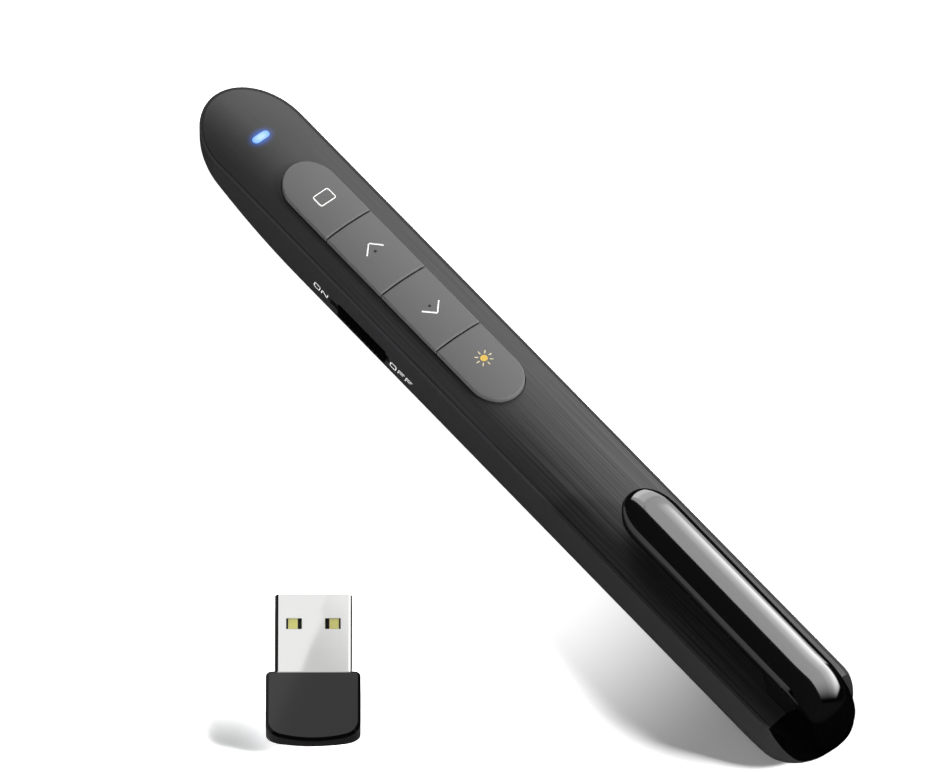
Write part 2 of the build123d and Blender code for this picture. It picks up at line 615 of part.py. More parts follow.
# ---- Power slider --------------------------------------------------------------------
def power_slider():
    """The ribbed power knob, its neck through the wall and its plate inside."""
    outer = -HALF_WIDTH - KNOB_PROUD
    knob_x = (outer, -HALF_WIDTH - SLIDER_CLEARANCE / 2)
    knob_z = (SLIDER_Z - KNOB_HEIGHT / 2, SLIDER_Z + KNOB_HEIGHT / 2)
    knob = block(knob_x, (KNOB_TAIL_Y, KNOB_TAIL_Y + KNOB_LENGTH), knob_z)
    knob = fillet(knob.faces().sort_by(Axis.X)[0].edges(), KNOB_EDGE_RADIUS)
    for index in range(KNOB_RIB_COUNT):
        y = KNOB_Y + (index - (KNOB_RIB_COUNT - 1) / 2) * KNOB_RIB_PITCH
        half = KNOB_RIB_PITCH / 4
        knob -= block((outer - MARGIN, outer + KNOB_RIB_DEPTH), (y - half, y + half), (0, CEILING))
    half_neck = KNOB_NECK_LENGTH / 2
    neck_height = SLOT_HEIGHT / 2 - SLIDER_CLEARANCE
    neck_z = (SLIDER_Z - neck_height, SLIDER_Z + neck_height)
    knob += block((knob_x[1], -PLATE_X), (KNOB_Y - half_neck, KNOB_Y + half_neck), neck_z)
    half_plate = PLATE_LENGTH / 2
    plate_x = (-PLATE_X - PLATE_THICKNESS, -PLATE_X)
    plate_z = (SLIDER_Z - PLATE_HEIGHT / 2, SLIDER_Z + PLATE_HEIGHT / 2)
    knob += block(plate_x, (KNOB_Y - half_plate, KNOB_Y + half_plate), plate_z)
    return knob - lever_block(SLIDER_CLEARANCE, 0)


def lever_block(grow, travel):
    """The switch lever's space, grown all round and lengthened by a travel."""
    half = LEVER_WIDTH / 2 + grow
    half_height = LEVER_HEIGHT / 2 + grow
    x = (-PLATE_X - PLATE_THICKNESS, -PLATE_X + LEVER_DEPTH + grow)
    z = (SLIDER_Z - half_height, SLIDER_Z + half_height)
    return block(x, (KNOB_Y - half, KNOB_Y + half + travel), z)


def switch_lever():
    """The slide switch's own lever, held in the slider's plate."""
    return lever_block(0, 0)


def slide_switch():
    """The slide switch's body under the board, with the window its lever moves in."""
    right = -PLATE_X + SLIDER_CLEARANCE + SWITCH_DEPTH
    middle = KNOB_Y + SLIDER_TRAVEL / 2
    y = (middle - SWITCH_LENGTH / 2, middle + SWITCH_LENGTH / 2)
    z = (SLIDER_Z - LEVER_HEIGHT / 2 - 2 * SWITCH_WALL, BOARD_BOTTOM)
    body = block((-PLATE_X + SLIDER_CLEARANCE, right), y, z)
    return body - lever_block(SLIDER_CLEARANCE, SLIDER_TRAVEL)


# ---- Laser ---------------------------------------------------------------------------
def laser_housing():
    """The brass barrel, bored from both ends to a thin stop."""
    barrel = rod(LASER_RADIUS, 0, (LASER_TAIL_Y, LASER_TIP_Y), LASER_Z)
    barrel -= rod(LASER_BORE, 0, (LASER_TAIL_Y, LASER_TAIL_Y + DIODE_LENGTH), LASER_Z)
    barrel -= rod(LASER_BORE, 0, (LASER_TIP_Y - LENS_LENGTH, LASER_TIP_Y), LASER_Z)
    return barrel - rod(LASER_STOP_BORE, 0, (LASER_TAIL_Y, LASER_TIP_Y), LASER_Z)


def laser_diode():
    """The diode's can and its two pins, which reach back over the board."""
    can = rod(LASER_BORE - OPTIC_FIT, 0, (LASER_TAIL_Y, LASER_TAIL_Y + DIODE_LENGTH), LASER_Z)
    pin_y = (LASER_TAIL_Y - PIN_LENGTH, LASER_TAIL_Y + PIN_RADIUS)
    for side in (-1, 1):
        can += rod(PIN_RADIUS, side * PIN_PITCH / 2, pin_y, BOARD_TOP + PIN_RADIUS)
    return can


def laser_lens():
    """The collimating lens, domed towards the tip."""
    start = LASER_TIP_Y - LENS_LENGTH
    radius = LASER_BORE - OPTIC_FIT
    rim = (radius, LASER_TIP_Y - LENS_DOME)
    bend = arc_radius(radius, LENS_DOME)
    half_rise = sqrt(bend**2 - (radius / 2) ** 2) - bend
    side = Polyline((0, LASER_TIP_Y), (0, start), (radius, start), rim)
    outline = side + ThreePointArc(rim, (radius / 2, LASER_TIP_Y + half_rise), (0, LASER_TIP_Y))
    return Pos(0, 0, LASER_Z) * revolve(make_face(outline.edges()), Axis.Y)


def laser_window():
    """The clear disc behind the aperture."""
    end = TIP_Y - TIP_WALL
    return rod(WINDOW_RADIUS, 0, (end - WINDOW_THICKNESS, end), LASER_Z)


# ---- Battery bay ---------------------------------------------------------------------
def battery_cell():
    """The AAA cell, with its positive nub towards the tip."""
    shoulder = CELL_TIP_Y - NUB_LENGTH
    can = rod(CELL_RADIUS, 0, (CELL_TAIL_Y, shoulder), CELL_Z)
    can = fillet(can.edges().filter_by(GeomType.CIRCLE), NUB_LENGTH / 2)
    return can + rod(NUB_RADIUS, 0, (shoulder, CELL_TIP_Y), CELL_Z)


def contact_plate(y):
    """A square contact plate across the bay."""
    half = CONTACT_SIZE / 2
    plate = block((-half, half), (y, y + CONTACT_THICKNESS), (CELL_Z - half, CELL_Z + half))
    return fillet(plate.edges().filter_by(Axis.Y), CONTACT_THICKNESS * 2)


def battery_spring():
    """The coil that presses on the cell's flat end, with its plate."""
    rise = SPRING_LENGTH - SPRING_WIRE
    coil = Helix(rise / SPRING_TURNS, rise, SPRING_RADIUS - SPRING_WIRE / 2)
    start = Plane(origin=coil @ 0, z_dir=coil % 0)
    wire = sweep(start * Circle(SPRING_WIRE / 2), path=coil)
    seat_y = SPRING_PLATE_Y + CONTACT_THICKNESS + SPRING_WIRE / 2 - SPRING_BITE
    return contact_plate(SPRING_PLATE_Y) + Pos(0, seat_y, CELL_Z) * Rot(-90, 0, 0) * wire


# ---- Battery door --------------------------------------------------------------------
def battery_door():
    """The sliding door in the base, with its upturned sides and tongues."""
    half = DOOR_WIDTH / 2
    y = (TAIL_Y - MARGIN, DOOR_TIP_Y - DOOR_GAP)
    door = ENVELOPE & block((-half, half), y, (-MARGIN, DOOR_EDGE_Z))
    inner = half - DOOR_SIDE
    door -= CAVITY & block((-inner, inner), (TAIL_Y, DOOR_TIP_Y + MARGIN), (0, CEILING))
    tongue_y = (TONGUE_TAIL_Y, DOOR_TIP_Y - DOOR_GAP - TONGUE_TIP_INSET)
    tongue_z = (DOOR_EDGE_Z - TONGUE_THICKNESS, DOOR_EDGE_Z)
    for side in (-1, 1):
        x = sorted((side * inner, side * (half + TONGUE_REACH)))
        door += block(x, tongue_y, tongue_z)
    for index in range(GRIP_COUNT):
        groove_y = DOOR_TIP_Y - GRIP_SETBACK - index * GRIP_PITCH
        x = (-GRIP_LENGTH / 2, GRIP_LENGTH / 2)
        door -= block(x, (groove_y - GRIP_WIDTH, groove_y), (-MARGIN, GRIP_DEPTH))
    return door


# ---- Clip ----------------------------------------------------------------------------
def clip_dome():
    """Everything under the clip's arched top."""
    half = CLIP_WIDTH / 2
    low = CLIP_CREST - CLIP_DOME_RISE
    corners = [(-half, low), (-half, 0), (half, 0), (half, low)]
    outline = Polyline(*corners) + ThreePointArc(corners[-1], (0, CLIP_CREST), corners[0])
    return extrude(Plane.XZ * make_face(outline.edges()), TIP_Y + MARGIN, both=True)


def side_prism(outline, half_width):
    """A side-view outline of (y, z) edges, extruded across the body."""
    face = Plane.YZ * make_face(outline.edges())
    return extrude(face, half_width, both=True)


def clip_arm():
    """The flexing arm, from its rounded nose back to its neck."""
    nose_top = (CLIP_NOSE_Y - CLIP_NOSE_RUN, CLIP_CREST)
    nose_tip = (CLIP_NOSE_Y, CLIP_CREST - CLIP_NOSE_DROP)
    bend = (CLIP_NOSE_RUN * CLIP_NOSE_BEND, CLIP_NOSE_DROP * CLIP_NOSE_BEND)
    nose_mid = (CLIP_NOSE_Y - bend[0], CLIP_CREST - bend[1])
    root = CLIP_ROOT_Y + CLIP_SPLIT
    line = Polyline(
        nose_tip,
        (CLIP_NOSE_Y, CLIP_UNDERSIDE),
        (root, CLIP_UNDERSIDE),
        (root, CLIP_ROOT_Z),
        nose_top,
    )
    side = side_prism(line + ThreePointArc(nose_top, nose_mid, nose_tip), CLIP_WIDTH)
    outline = long_outline(CLIP_WIDTH / 2, CLIP_NOSE_Y, CLIP_NOSE_ROUND, TAIL_Y, CLIP_NOSE_ROUND)
    arm = side & prism(outline, 0, CEILING) & clip_dome()
    foot_z = CROWN_TOP + CLIP_FOOT_GAP + CLIP_FOOT_RADIUS
    foot = Pos(0, CLIP_FOOT_Y, foot_z) * Rot(0, 90, 0) * Cylinder(CLIP_FOOT_RADIUS, CLIP_WIDTH / 2)
    foot_x = (-CLIP_WIDTH / 4, CLIP_WIDTH / 4)
    foot_y = (CLIP_FOOT_Y - CLIP_FOOT_RADIUS, CLIP_FOOT_Y + CLIP_FOOT_RADIUS)
    foot += block(foot_x, foot_y, (foot_z, CLIP_UNDERSIDE + CLIP_FOOT_RADIUS))
    return arm + foot


def strap_taper():
    """The strap's front-view outline, whose sides curve inwards down the tail."""
    half = CLIP_WIDTH / 2
    foot = STRAP_FOOT_WIDTH / 2
    fall = STRAP_TAPER_Z - STRAP_FOOT_Z
    bend = arc_radius(fall, half - foot)
    middle_x = half - bend + sqrt(bend**2 - (fall / 2) ** 2)
    middle_z = STRAP_TAPER_Z - fall / 2
    top = Polyline((-half, STRAP_TAPER_Z), (-half, CEILING), (half, CEILING), (half, STRAP_TAPER_Z))
    outline = top + Line((-foot, STRAP_FOOT_Z), (foot, STRAP_FOOT_Z))
    for side in (-1, 1):
        start = (side * half, STRAP_TAPER_Z)
        outline += ThreePointArc(start, (side * middle_x, middle_z), (side * foot, STRAP_FOOT_Z))
    face = Plane.XZ * make_face(outline.edges())
    return extrude(face, MARGIN - STRAP_END_Y, both=True)


def tail_strap():
    """The fixed end of the clip's moulding, wrapped over the tail and screwed down."""
    top = (CLIP_ROOT_Y, CLIP_ROOT_Z)
    knee = (STRAP_KNEE_Y, CLIP_ROOT_Z)
    end = (STRAP_END_Y, STRAP_END_Z)
    shoulder_y = STRAP_KNEE_Y + STRAP_SHOULDER * (STRAP_END_Y - STRAP_KNEE_Y)
    shoulder_z = STRAP_END_Z + STRAP_SHOULDER * (CLIP_ROOT_Z - STRAP_END_Z)
    shoulder = (shoulder_y, shoulder_z)
    foot = (STRAP_FOOT_Y, STRAP_FOOT_Z)
    bulge = (STRAP_END_Y + STRAP_BULGE, (STRAP_END_Z + STRAP_FOOT_Z) / 2)
    inside = (TAIL_CENTRE_Y, STRAP_FOOT_Z)
    line = Polyline(foot, inside, (TAIL_CENTRE_Y, ROLL_Z), (CLIP_ROOT_Y, ROLL_Z), top, knee)
    outline = line + ThreePointArc(knee, shoulder, end) + ThreePointArc(end, bulge, foot)
    strap = side_prism(outline, CLIP_WIDTH / 2) & strap_taper()
    strap &= clip_dome()
    strap -= ENVELOPE
    strap += end_skin(0)
    screw_y = CASE_SCREW_YS[1]
    strap += peg(STRAP_BOSS_RADIUS, 0, screw_y, (BRIDGE_Z + BRIDGE_THICKNESS, CLIP_UNDERSIDE))
    return strap - peg(CASE_SCREW_RADIUS, 0, screw_y, (0, BRIDGE_Z + CASE_SCREW_LENGTH))


# ---- Receiver ------------------------------------------------------------------------
def tube_section(width, height, corner):
    """A rounded rectangle across the receiver, at the plug's height."""
    return Plane.XZ * Pos(0, PLUG_Z) * RectangleRounded(width, height, corner)


def along(section, tail, tip):
    """A section across the receiver, extruded between two places along it."""
    return Pos(0, tail, 0) * extrude(section, -(tip - tail))


def usb_shell():
    """The plug's folded steel shell with its four latch windows."""
    tail = CAP_LENGTH - PLUG_HIDDEN
    outer = along(tube_section(PLUG_WIDTH, PLUG_HEIGHT, PLUG_CORNER), tail, PLUG_END_Y)
    inner_size = (PLUG_WIDTH - 2 * PLUG_SHEET, PLUG_HEIGHT - 2 * PLUG_SHEET)
    shell = outer - along(tube_section(*inner_size, PLUG_CORNER - PLUG_SHEET), tail, PLUG_END_Y)
    middle = PLUG_END_Y - WINDOW_FROM_END
    half_width = WINDOW_SIZE[0] / 2
    window_y = (middle - WINDOW_SIZE[1] / 2, middle + WINDOW_SIZE[1] / 2)
    for x in (-WINDOW_OFFSET, WINDOW_OFFSET):
        shell -= block((x - half_width, x + half_width), window_y, (0, CAP_THICKNESS))
    return shell


def usb_tongue():
    """The plug's insulating bar, in the lower half of its shell."""
    half = PLUG_WIDTH / 2 - PLUG_SHEET - CAP_FIT
    end = PLUG_END_Y - TONGUE_BAR_END_INSET
    z = (TONGUE_BAR_TOP - TONGUE_BAR_THICKNESS, TONGUE_BAR_TOP)
    bar = block((-half, half), (end - TONGUE_BAR_LENGTH, end), z)
    corners = bar.edges().filter_by(Axis.Y).group_by(Axis.Z)[0]
    return chamfer(corners, PLUG_CORNER - PLUG_SHEET)


def usb_contacts():
    """Four flat contacts on the bar, the outer two reaching further out."""
    bars = []
    for x in CONTACT_XS:
        setback = INNER_CONTACT_SETBACK if abs(x) < max(CONTACT_XS) else 0
        end = PLUG_END_Y - TONGUE_BAR_END_INSET - CONTACT_END_INSET - setback
        start = PLUG_END_Y - TONGUE_BAR_END_INSET - CONTACT_BAR_LENGTH
        half = CONTACT_BAR_WIDTH / 2
        z = (TONGUE_BAR_TOP, TONGUE_BAR_TOP + CONTACT_BAR_THICKNESS)
        bars.append(block((x - half, x + half), (start, end), z))
    return Compound(children=[bar.solid() for bar in bars])


def cap_taper():
    """The cap's side-view outline, thinning from below towards the closed end."""
    low = [(CAP_LENGTH, 0), (CAP_TAPER[0], 0), (0, CAP_TAPER[1])]
    high = [(0, CAP_THICKNESS), (CAP_LENGTH, CAP_THICKNESS)]
    return side_prism(Polyline(*low, *high, close=True), CAP_WIDTH)


def receiver_cap():
    """The receiver's moulded cap, open towards the plug."""
    half = CAP_WIDTH / 2
    corners = [(-half, CAP_END_BULGE), (-half, CAP_LENGTH), (half, CAP_LENGTH), (half, CAP_END_BULGE)]
    outline = Polyline(*corners) + ThreePointArc(corners[-1], (0, 0), corners[0])
    cap = extrude(make_face(outline.edges()), CAP_THICKNESS)
    corners = cap.edges().filter_by(Axis.Z)
    cap = fillet([edge for edge in corners if edge.center().Y < CAP_LENGTH / 2], CAP_CORNER)
    mouth = [edge for edge in cap.edges().filter_by(Axis.Z) if edge.center().Y > CAP_LENGTH - TOUCH]
    cap = fillet(mouth, CAP_MOUTH_CORNER)
    rims = cap.faces().filter_by(Axis.Z).edges()
    cap = chamfer(rims, CAP_EDGE) & cap_taper()
    size = (PLUG_WIDTH + 2 * CAP_FIT, PLUG_HEIGHT + 2 * CAP_FIT, PLUG_CORNER)
    cap -= along(tube_section(*size), CAP_FLOOR, CAP_LENGTH + MARGIN)
    half = STICK_BOARD_SIZE[0] / 2 + CAP_BOARD_PLAY
    floor = STICK_BOARD_FLOOR - CAP_BOARD_PLAY
    top = STICK_BOARD_FLOOR + STICK_BOARD_SIZE[2] + STICK_CHIP_SIZE[2] + CAP_BOARD_PLAY
    return cap - block((-half, half), (CAP_BOARD_FLOOR, CAP_FLOOR + MARGIN), (floor, top))


def stick_part(size, y, floor):
    """A small rectangular part inside the receiver."""
    return block((-size[0] / 2, size[0] / 2), (y, y + size[1]), (floor, floor + size[2]))


def receiver_parts():
    """Every receiver piece, at its place beside the clicker."""
    board_top = STICK_BOARD_FLOOR + STICK_BOARD_SIZE[2]
    pieces = {
        "usb_shell": usb_shell(),
        "usb_tongue": usb_tongue(),
        "usb_contacts": usb_contacts(),
        "receiver_cap": receiver_cap(),
        "receiver_board": stick_part(STICK_BOARD_SIZE, STICK_BOARD_Y, STICK_BOARD_FLOOR),
        "receiver_chip": stick_part(STICK_CHIP_SIZE, STICK_BOARD_Y + STICK_CHIP_OFFSET, board_top),
        "receiver_crystal": stick_part(STICK_CRYSTAL_SIZE, STICK_BOARD_Y, board_top),
    }
    place = Pos(*RECEIVER_PLACE, 0) * Rot(0, 0, RECEIVER_TURN)
    return {name: place * piece for name, piece in pieces.items()}


# ---- Assembly ------------------------------------------------------------------------
ENVELOPE = envelope(0)
CAVITY = envelope(WALL)
HALF_WALL = envelope(WALL / 2)


def all_parts():
    """Every piece of the set by name."""
    parts = {
        "bottom_shell": bottom_shell(),
        "top_cover": top_cover(),
        "battery_door": battery_door(),
        "clip_arm": clip_arm(),
        "tail_strap": tail_strap(),
        "main_board": main_board(),
        "tact_switches": tact_switches(),
        "controller_chip": board_part(CHIP_SIZE, ISLAND_TIP_Y - CHIP_SETBACK, False),
        "crystal": board_part(CRYSTAL_SIZE, ISLAND_TIP_Y - CRYSTAL_SETBACK, False),
        "voltage_regulator": board_part(REGULATOR_SIZE, ISLAND_TAIL_Y + REGULATOR_REACH, False),
        "status_led": board_part(LED_SIZE, LED_Y, True),
        "light_pipe": light_pipe(),
        "slide_switch": slide_switch(),
        "switch_lever": switch_lever(),
        "power_slider": power_slider(),
        "laser_housing": laser_housing(),
        "laser_diode": laser_diode(),
        "laser_lens": laser_lens(),
        "laser_window": laser_window(),
        "battery_cell": battery_cell(),
        "battery_contact": contact_plate(CELL_TIP_Y),
        "battery_spring": battery_spring(),
        "board_screws": board_screws(),
        "case_screws": case_screws(),
    }
    for name, span in zip(KEY_NAMES, key_spans()):
        parts[name] = key(*span)
    parts.update(receiver_parts())
    return parts


os.makedirs("parts", exist_ok=True)
for part_name, shape in all_parts().items():
    export_step(shape, f"parts/{part_name}.step")
    print(part_name, len(shape.solids()), round(shape.volume, 2))
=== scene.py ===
import logging
import math
from dataclasses import dataclass
from enum import Enum
from typing import Any, Iterable, Sequence

import bmesh
import bpy
from mathutils import Matrix, Vector
from mathutils.bvhtree import BVHTree


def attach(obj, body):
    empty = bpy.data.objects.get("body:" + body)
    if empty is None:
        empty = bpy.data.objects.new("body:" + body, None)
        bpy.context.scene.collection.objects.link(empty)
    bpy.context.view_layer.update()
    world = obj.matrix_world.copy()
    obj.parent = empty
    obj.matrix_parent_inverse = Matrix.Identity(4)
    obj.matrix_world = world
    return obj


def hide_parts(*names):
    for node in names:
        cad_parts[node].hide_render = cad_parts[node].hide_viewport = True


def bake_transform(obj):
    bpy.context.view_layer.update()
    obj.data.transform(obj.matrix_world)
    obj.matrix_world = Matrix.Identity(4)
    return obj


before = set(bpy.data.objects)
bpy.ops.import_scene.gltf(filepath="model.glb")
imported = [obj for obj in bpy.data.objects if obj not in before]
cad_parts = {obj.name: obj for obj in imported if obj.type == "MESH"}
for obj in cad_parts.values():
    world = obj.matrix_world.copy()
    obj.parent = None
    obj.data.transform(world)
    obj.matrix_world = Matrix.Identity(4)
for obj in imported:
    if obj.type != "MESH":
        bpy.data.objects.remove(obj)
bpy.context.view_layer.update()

LOG = logging.getLogger("clicker")
MM = 0.001
SMOOTH_ANGLE = math.radians(32.0)
MERGE_DISTANCE = 0.002 * MM
LIGHT_PLACE = (0.0, 64.6, 13.2)

Point = tuple[float, float]
Place = tuple[float, float, float]


# ---- Shared helpers ------------------------------------------------------------------
def linear(colour: str) -> tuple[float, float, float, float]:
    """Turns an sRGB hex colour into linear values.

    Args:
        colour: Six hex digits after a hash sign.

    Returns:
        Linear red, green and blue, and an alpha of 1.
    """
    values = []
    for start in (1, 3, 5):
        value = int(colour[start:start + 2], 16) / 255
        values.append(value / 12.92 if value <= 0.04045 else ((value + 0.055) / 1.055) ** 2.4)
    return (values[0], values[1], values[2], 1.0)


def new_object(name: str, data: bpy.types.ID) -> bpy.types.Object:
    """Makes an object of a mesh, a lamp or a camera and links it to the scene.

    Args:
        name: The object's name.
        data: What it shows.

    Returns:
        The new object.
    """
    thing = bpy.data.objects.new(name, data)
    bpy.context.scene.collection.objects.link(thing)
    return thing


def mesh_object(name: str, points: Sequence[Sequence[float]],
                faces: Iterable[Sequence[int]]) -> bpy.types.Object:
    """Makes a linked mesh object from points in metres, with its faces turned outwards.

    Args:
        name: The object's name.
        points: Corner positions.
        faces: Corner numbers of each face.

    Returns:
        The new object.
    """
    mesh = bpy.data.meshes.new(name)
    mesh.from_pydata([tuple(point) for point in points], [], [tuple(face) for face in faces])
    shell = bmesh.new()
    shell.from_mesh(mesh)
    bmesh.ops.remove_doubles(shell, verts=shell.verts, dist=MERGE_DISTANCE / 4)
    bmesh.ops.recalc_face_normals(shell, faces=shell.faces)
    shell.to_mesh(mesh)
    shell.free()
    return new_object(name, mesh)


def shade(thing: bpy.types.Object) -> None:
    """Smooths the shading of an object everywhere but over its sharp edges."""
    thing.data.polygons.foreach_set("use_smooth", [True] * len(thing.data.polygons))
    thing.data.set_sharp_from_angle(angle=SMOOTH_ANGLE)


def weigh_normals(thing: bpy.types.Object) -> None:
    """Keeps large flat faces flat to the eye, so that only the small ones beside them bend.

    Args:
        thing: The piece.
    """
    modifier = thing.modifiers.new("weighted_normals", "WEIGHTED_NORMAL")
    modifier.mode = "FACE_AREA"
    modifier.weight = 100
    modifier.keep_sharp = True
    graph = bpy.context.evaluated_depsgraph_get()
    mesh = bpy.data.meshes.new_from_object(thing.evaluated_get(graph))
    mesh.name = thing.name
    thing.modifiers.clear()
    thing.data = mesh


def smooth_copy(node: str, material: bpy.types.Material, body: str) -> bpy.types.Object:
    """Puts a copy in a CAD node's place, with its triangles merged so that it shades smoothly.

    Args:
        node: The CAD node.
        material: The copy's material.
        body: The body that it rides on.

    Returns:
        The copy.
    """
    name = node + "_skin"
    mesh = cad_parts[node].data.copy()
    mesh.name = name
    work = bmesh.new()
    work.from_mesh(mesh)
    bmesh.ops.remove_doubles(work, verts=work.verts, dist=MERGE_DISTANCE)
    bmesh.ops.dissolve_degenerate(work, edges=work.edges, dist=MERGE_DISTANCE)
    work.to_mesh(mesh)
    work.free()
    if mesh.has_custom_normals:
        mesh.attributes.remove(mesh.attributes["custom_normal"])
    thing = new_object(name, mesh)
    shade(thing)
    weigh_normals(thing)
    thing.data.materials.clear()
    thing.data.materials.append(material)
    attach(thing, body)
    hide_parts(node)
    LOG.info("%s on %s, %d faces", thing.name, body, len(thing.data.polygons))
    return thing


def surface(node: str) -> BVHTree:
    """Makes the tree that finds places on a CAD node's surface."""
    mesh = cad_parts[node].data
    return BVHTree.FromPolygons([tuple(v.co) for v in mesh.vertices],
                                [tuple(face.vertices) for face in mesh.polygons])


def drape(thing: bpy.types.Object, node: str) -> None:
    """Lowers a flat piece onto the surface below it, so that it follows the surface's arch.

    Args:
        thing: The piece, drawn from above around height 0.
        node: The CAD node that it is printed on.
    """
    tree = surface(node)
    for vertex in thing.data.vertices:
        above = (vertex.co.x, vertex.co.y, 1.0)
        place = tree.ray_cast(above, (0.0, 0.0, -1.0))[0]
        vertex.co.z += place.z


# ---- Node trees ----------------------------------------------------------------------
class Wiring:
    """A node tree in the making."""

    def __init__(self, tree: bpy.types.NodeTree) -> None:
        """Takes a tree and empties it."""
        self.tree = tree
        self.tree.nodes.clear()

    def add(self, kind: str, settings: dict[str, Any] | None = None,
            links: dict[str | int, Any] | None = None) -> bpy.types.Node:
        """Adds a node with its settings and its inputs.

        Args:
            kind: The node's Blender type name.
            settings: Attributes of the node by name.
            links: Inputs by name or number, with what feed takes for each.

        Returns:
            The new node.
        """
        node = self.tree.nodes.new(kind)
        for name, value in (settings or {}).items():
            setattr(node, name, value)
        for name, value in (links or {}).items():
            self.feed(node.inputs[name], value)
        return node

    def feed(self, socket: bpy.types.NodeSocket, value: Any) -> None:
        """Sets an input, or links it.

        Args:
            socket: The input.
            value: A constant, an output socket, or a node whose first output is meant.
        """
        if isinstance(value, bpy.types.Node):
            value = value.outputs[0]
        if isinstance(value, bpy.types.NodeSocket):
            self.tree.links.new(value, socket)
        else:
            socket.default_value = value


class Growth(Wiring):
    """A Geometry Nodes tree with named inputs, and the way a piece is taken from it."""

    def __init__(self, name: str, sizes: Sequence[str]) -> None:
        """Makes the empty tree with a geometry input and one input for each size.

        Args:
            name: The tree's name.
            sizes: The names of its sizes, each in metres.
        """
        super().__init__(bpy.data.node_groups.new(name, "GeometryNodeTree"))
        face = self.tree.interface
        face.new_socket("Geometry", in_out="INPUT", socket_type="NodeSocketGeometry")
        self.keys: dict[str, str] = {}
        for size in sizes:
            socket = face.new_socket(size, in_out="INPUT", socket_type="NodeSocketFloat")
            self.keys[size] = socket.identifier
        face.new_socket("Geometry", in_out="OUTPUT", socket_type="NodeSocketGeometry")
        self.given = self.add("NodeGroupInput").outputs

    def end(self, geometry: bpy.types.Node,
            inks: Sequence[tuple[bpy.types.Material, Any]]) -> None:
        """Ends the tree with real geometry that has its inks.

        Args:
            geometry: The node that gives the shape.
            inks: Each ink with what it goes on, True for all of it.
        """
        inked = self.add("GeometryNodeRealizeInstances", {}, {"Geometry": geometry})
        for ink, where in inks:
            inked = self.add("GeometryNodeSetMaterial", {}, {
                "Geometry": inked, "Selection": where, "Material": ink})
        self.add("NodeGroupOutput", {}, {"Geometry": inked})

    def grow(self, seed: bpy.types.Object, **sizes: float) -> bpy.types.Object:
        """Runs the tree on an object and puts the plain result in its place.

        Args:
            seed: The object that the tree starts from.
            sizes: Values for the named inputs.

        Returns:
            The object, now with the finished mesh and no modifier.
        """
        modifier = seed.modifiers.new("growth", "NODES")
        modifier.node_group = self.tree
        for size, value in sizes.items():
            modifier[self.keys[size]] = value
        graph = bpy.context.evaluated_depsgraph_get()
        grown = bpy.data.meshes.new_from_object(seed.evaluated_get(graph))
        grown.name = seed.name
        seed.modifiers.clear()
        seed.data = grown
        return seed


class Stroke(Growth):
    """Printed lines: each path gets rounded corners and a flat ribbon's thickness."""

    def __init__(self, ink: bpy.types.Material, corner_points: int = 5) -> None:
        """Makes the tree that turns paths into ribbons of ink.

        Args:
            ink: The ink.
            corner_points: How many points round a corner.
        """
        super().__init__("printed_stroke", ("Width", "Thickness", "Corner"))
        path = self.add("GeometryNodeMeshToCurve", {}, {"Mesh": self.given["Geometry"]})
        rounded = self.add("GeometryNodeFilletCurve", {"mode": "POLY"}, {
            "Curve": path, "Count": corner_points, "Radius": self.given["Corner"],
            "Limit Radius": True})
        level = self.add("GeometryNodeSetCurveNormal", {"mode": "Z_UP"}, {"Curve": rounded})
        ribbon = self.add("GeometryNodeCurvePrimitiveQuadrilateral", {}, {
            "Width": self.given["Width"], "Height": self.given["Thickness"]})
        swept = self.add("GeometryNodeCurveToMesh", {}, {
            "Curve": level, "Profile Curve": ribbon, "Fill Caps": True})
        self.end(swept, [(ink, True)])


class Sun(Growth):
    """The sun mark: a disc with rays set evenly round it."""

    def __init__(self, disc_ink: bpy.types.Material, ray_ink: bpy.types.Material,
                 rays: int, disc_points: int = 40) -> None:
        """Makes the tree that sets the rays round the disc.

        Args:
            disc_ink: The disc's ink.
            ray_ink: The rays' ink.
            rays: How many rays.
            disc_points: How many points round the disc.
        """
        super().__init__("sun_mark", ("Disc", "Ring", "Length", "Width", "Thickness"))
        disc = self.add("GeometryNodeMeshCylinder", {}, {
            "Vertices": disc_points, "Radius": self.given["Disc"],
            "Depth": self.given["Thickness"]})
        ring = self.add("GeometryNodeMeshCircle", {}, {
            "Vertices": rays, "Radius": self.given["Ring"]})
        size = self.add("ShaderNodeCombineXYZ", {}, {
            0: self.given["Length"], 1: self.given["Width"], 2: self.given["Thickness"]})
        ray = self.add("GeometryNodeMeshCube", {}, {"Size": size})
        place = self.add("GeometryNodeInputPosition")
        outwards = self.add("FunctionNodeAlignRotationToVector", {"axis": "X"}, {
            "Vector": place})
        spread = self.add("GeometryNodeInstanceOnPoints", {}, {
            "Points": ring, "Instance": ray, "Rotation": outwards})
        both = self.add("GeometryNodeJoinGeometry", {}, {"Geometry": disc})
        self.feed(both.inputs[0], spread)
        away = self.add("ShaderNodeVectorMath", {"operation": "LENGTH"}, {0: place})
        inside = self.add("FunctionNodeCompare", {"operation": "LESS_THAN"}, {
            0: away.outputs["Value"], 1: self.given["Disc"]})
        self.end(both, [(ray_ink, True), (disc_ink, inside)])


# ---- Finishes ------------------------------------------------------------------------
class Shading(Wiring):
    """A new material's tree, with places in the row frame."""

    def __init__(self, name: str) -> None:
        """Makes the material and empties its tree.

        Args:
            name: The material's name.
        """
        self.material = bpy.data.materials.new(name)
        self.material.use_nodes = True
        super().__init__(self.material.node_tree)
        self.place = self.add("ShaderNodeTexCoord").outputs["Object"]


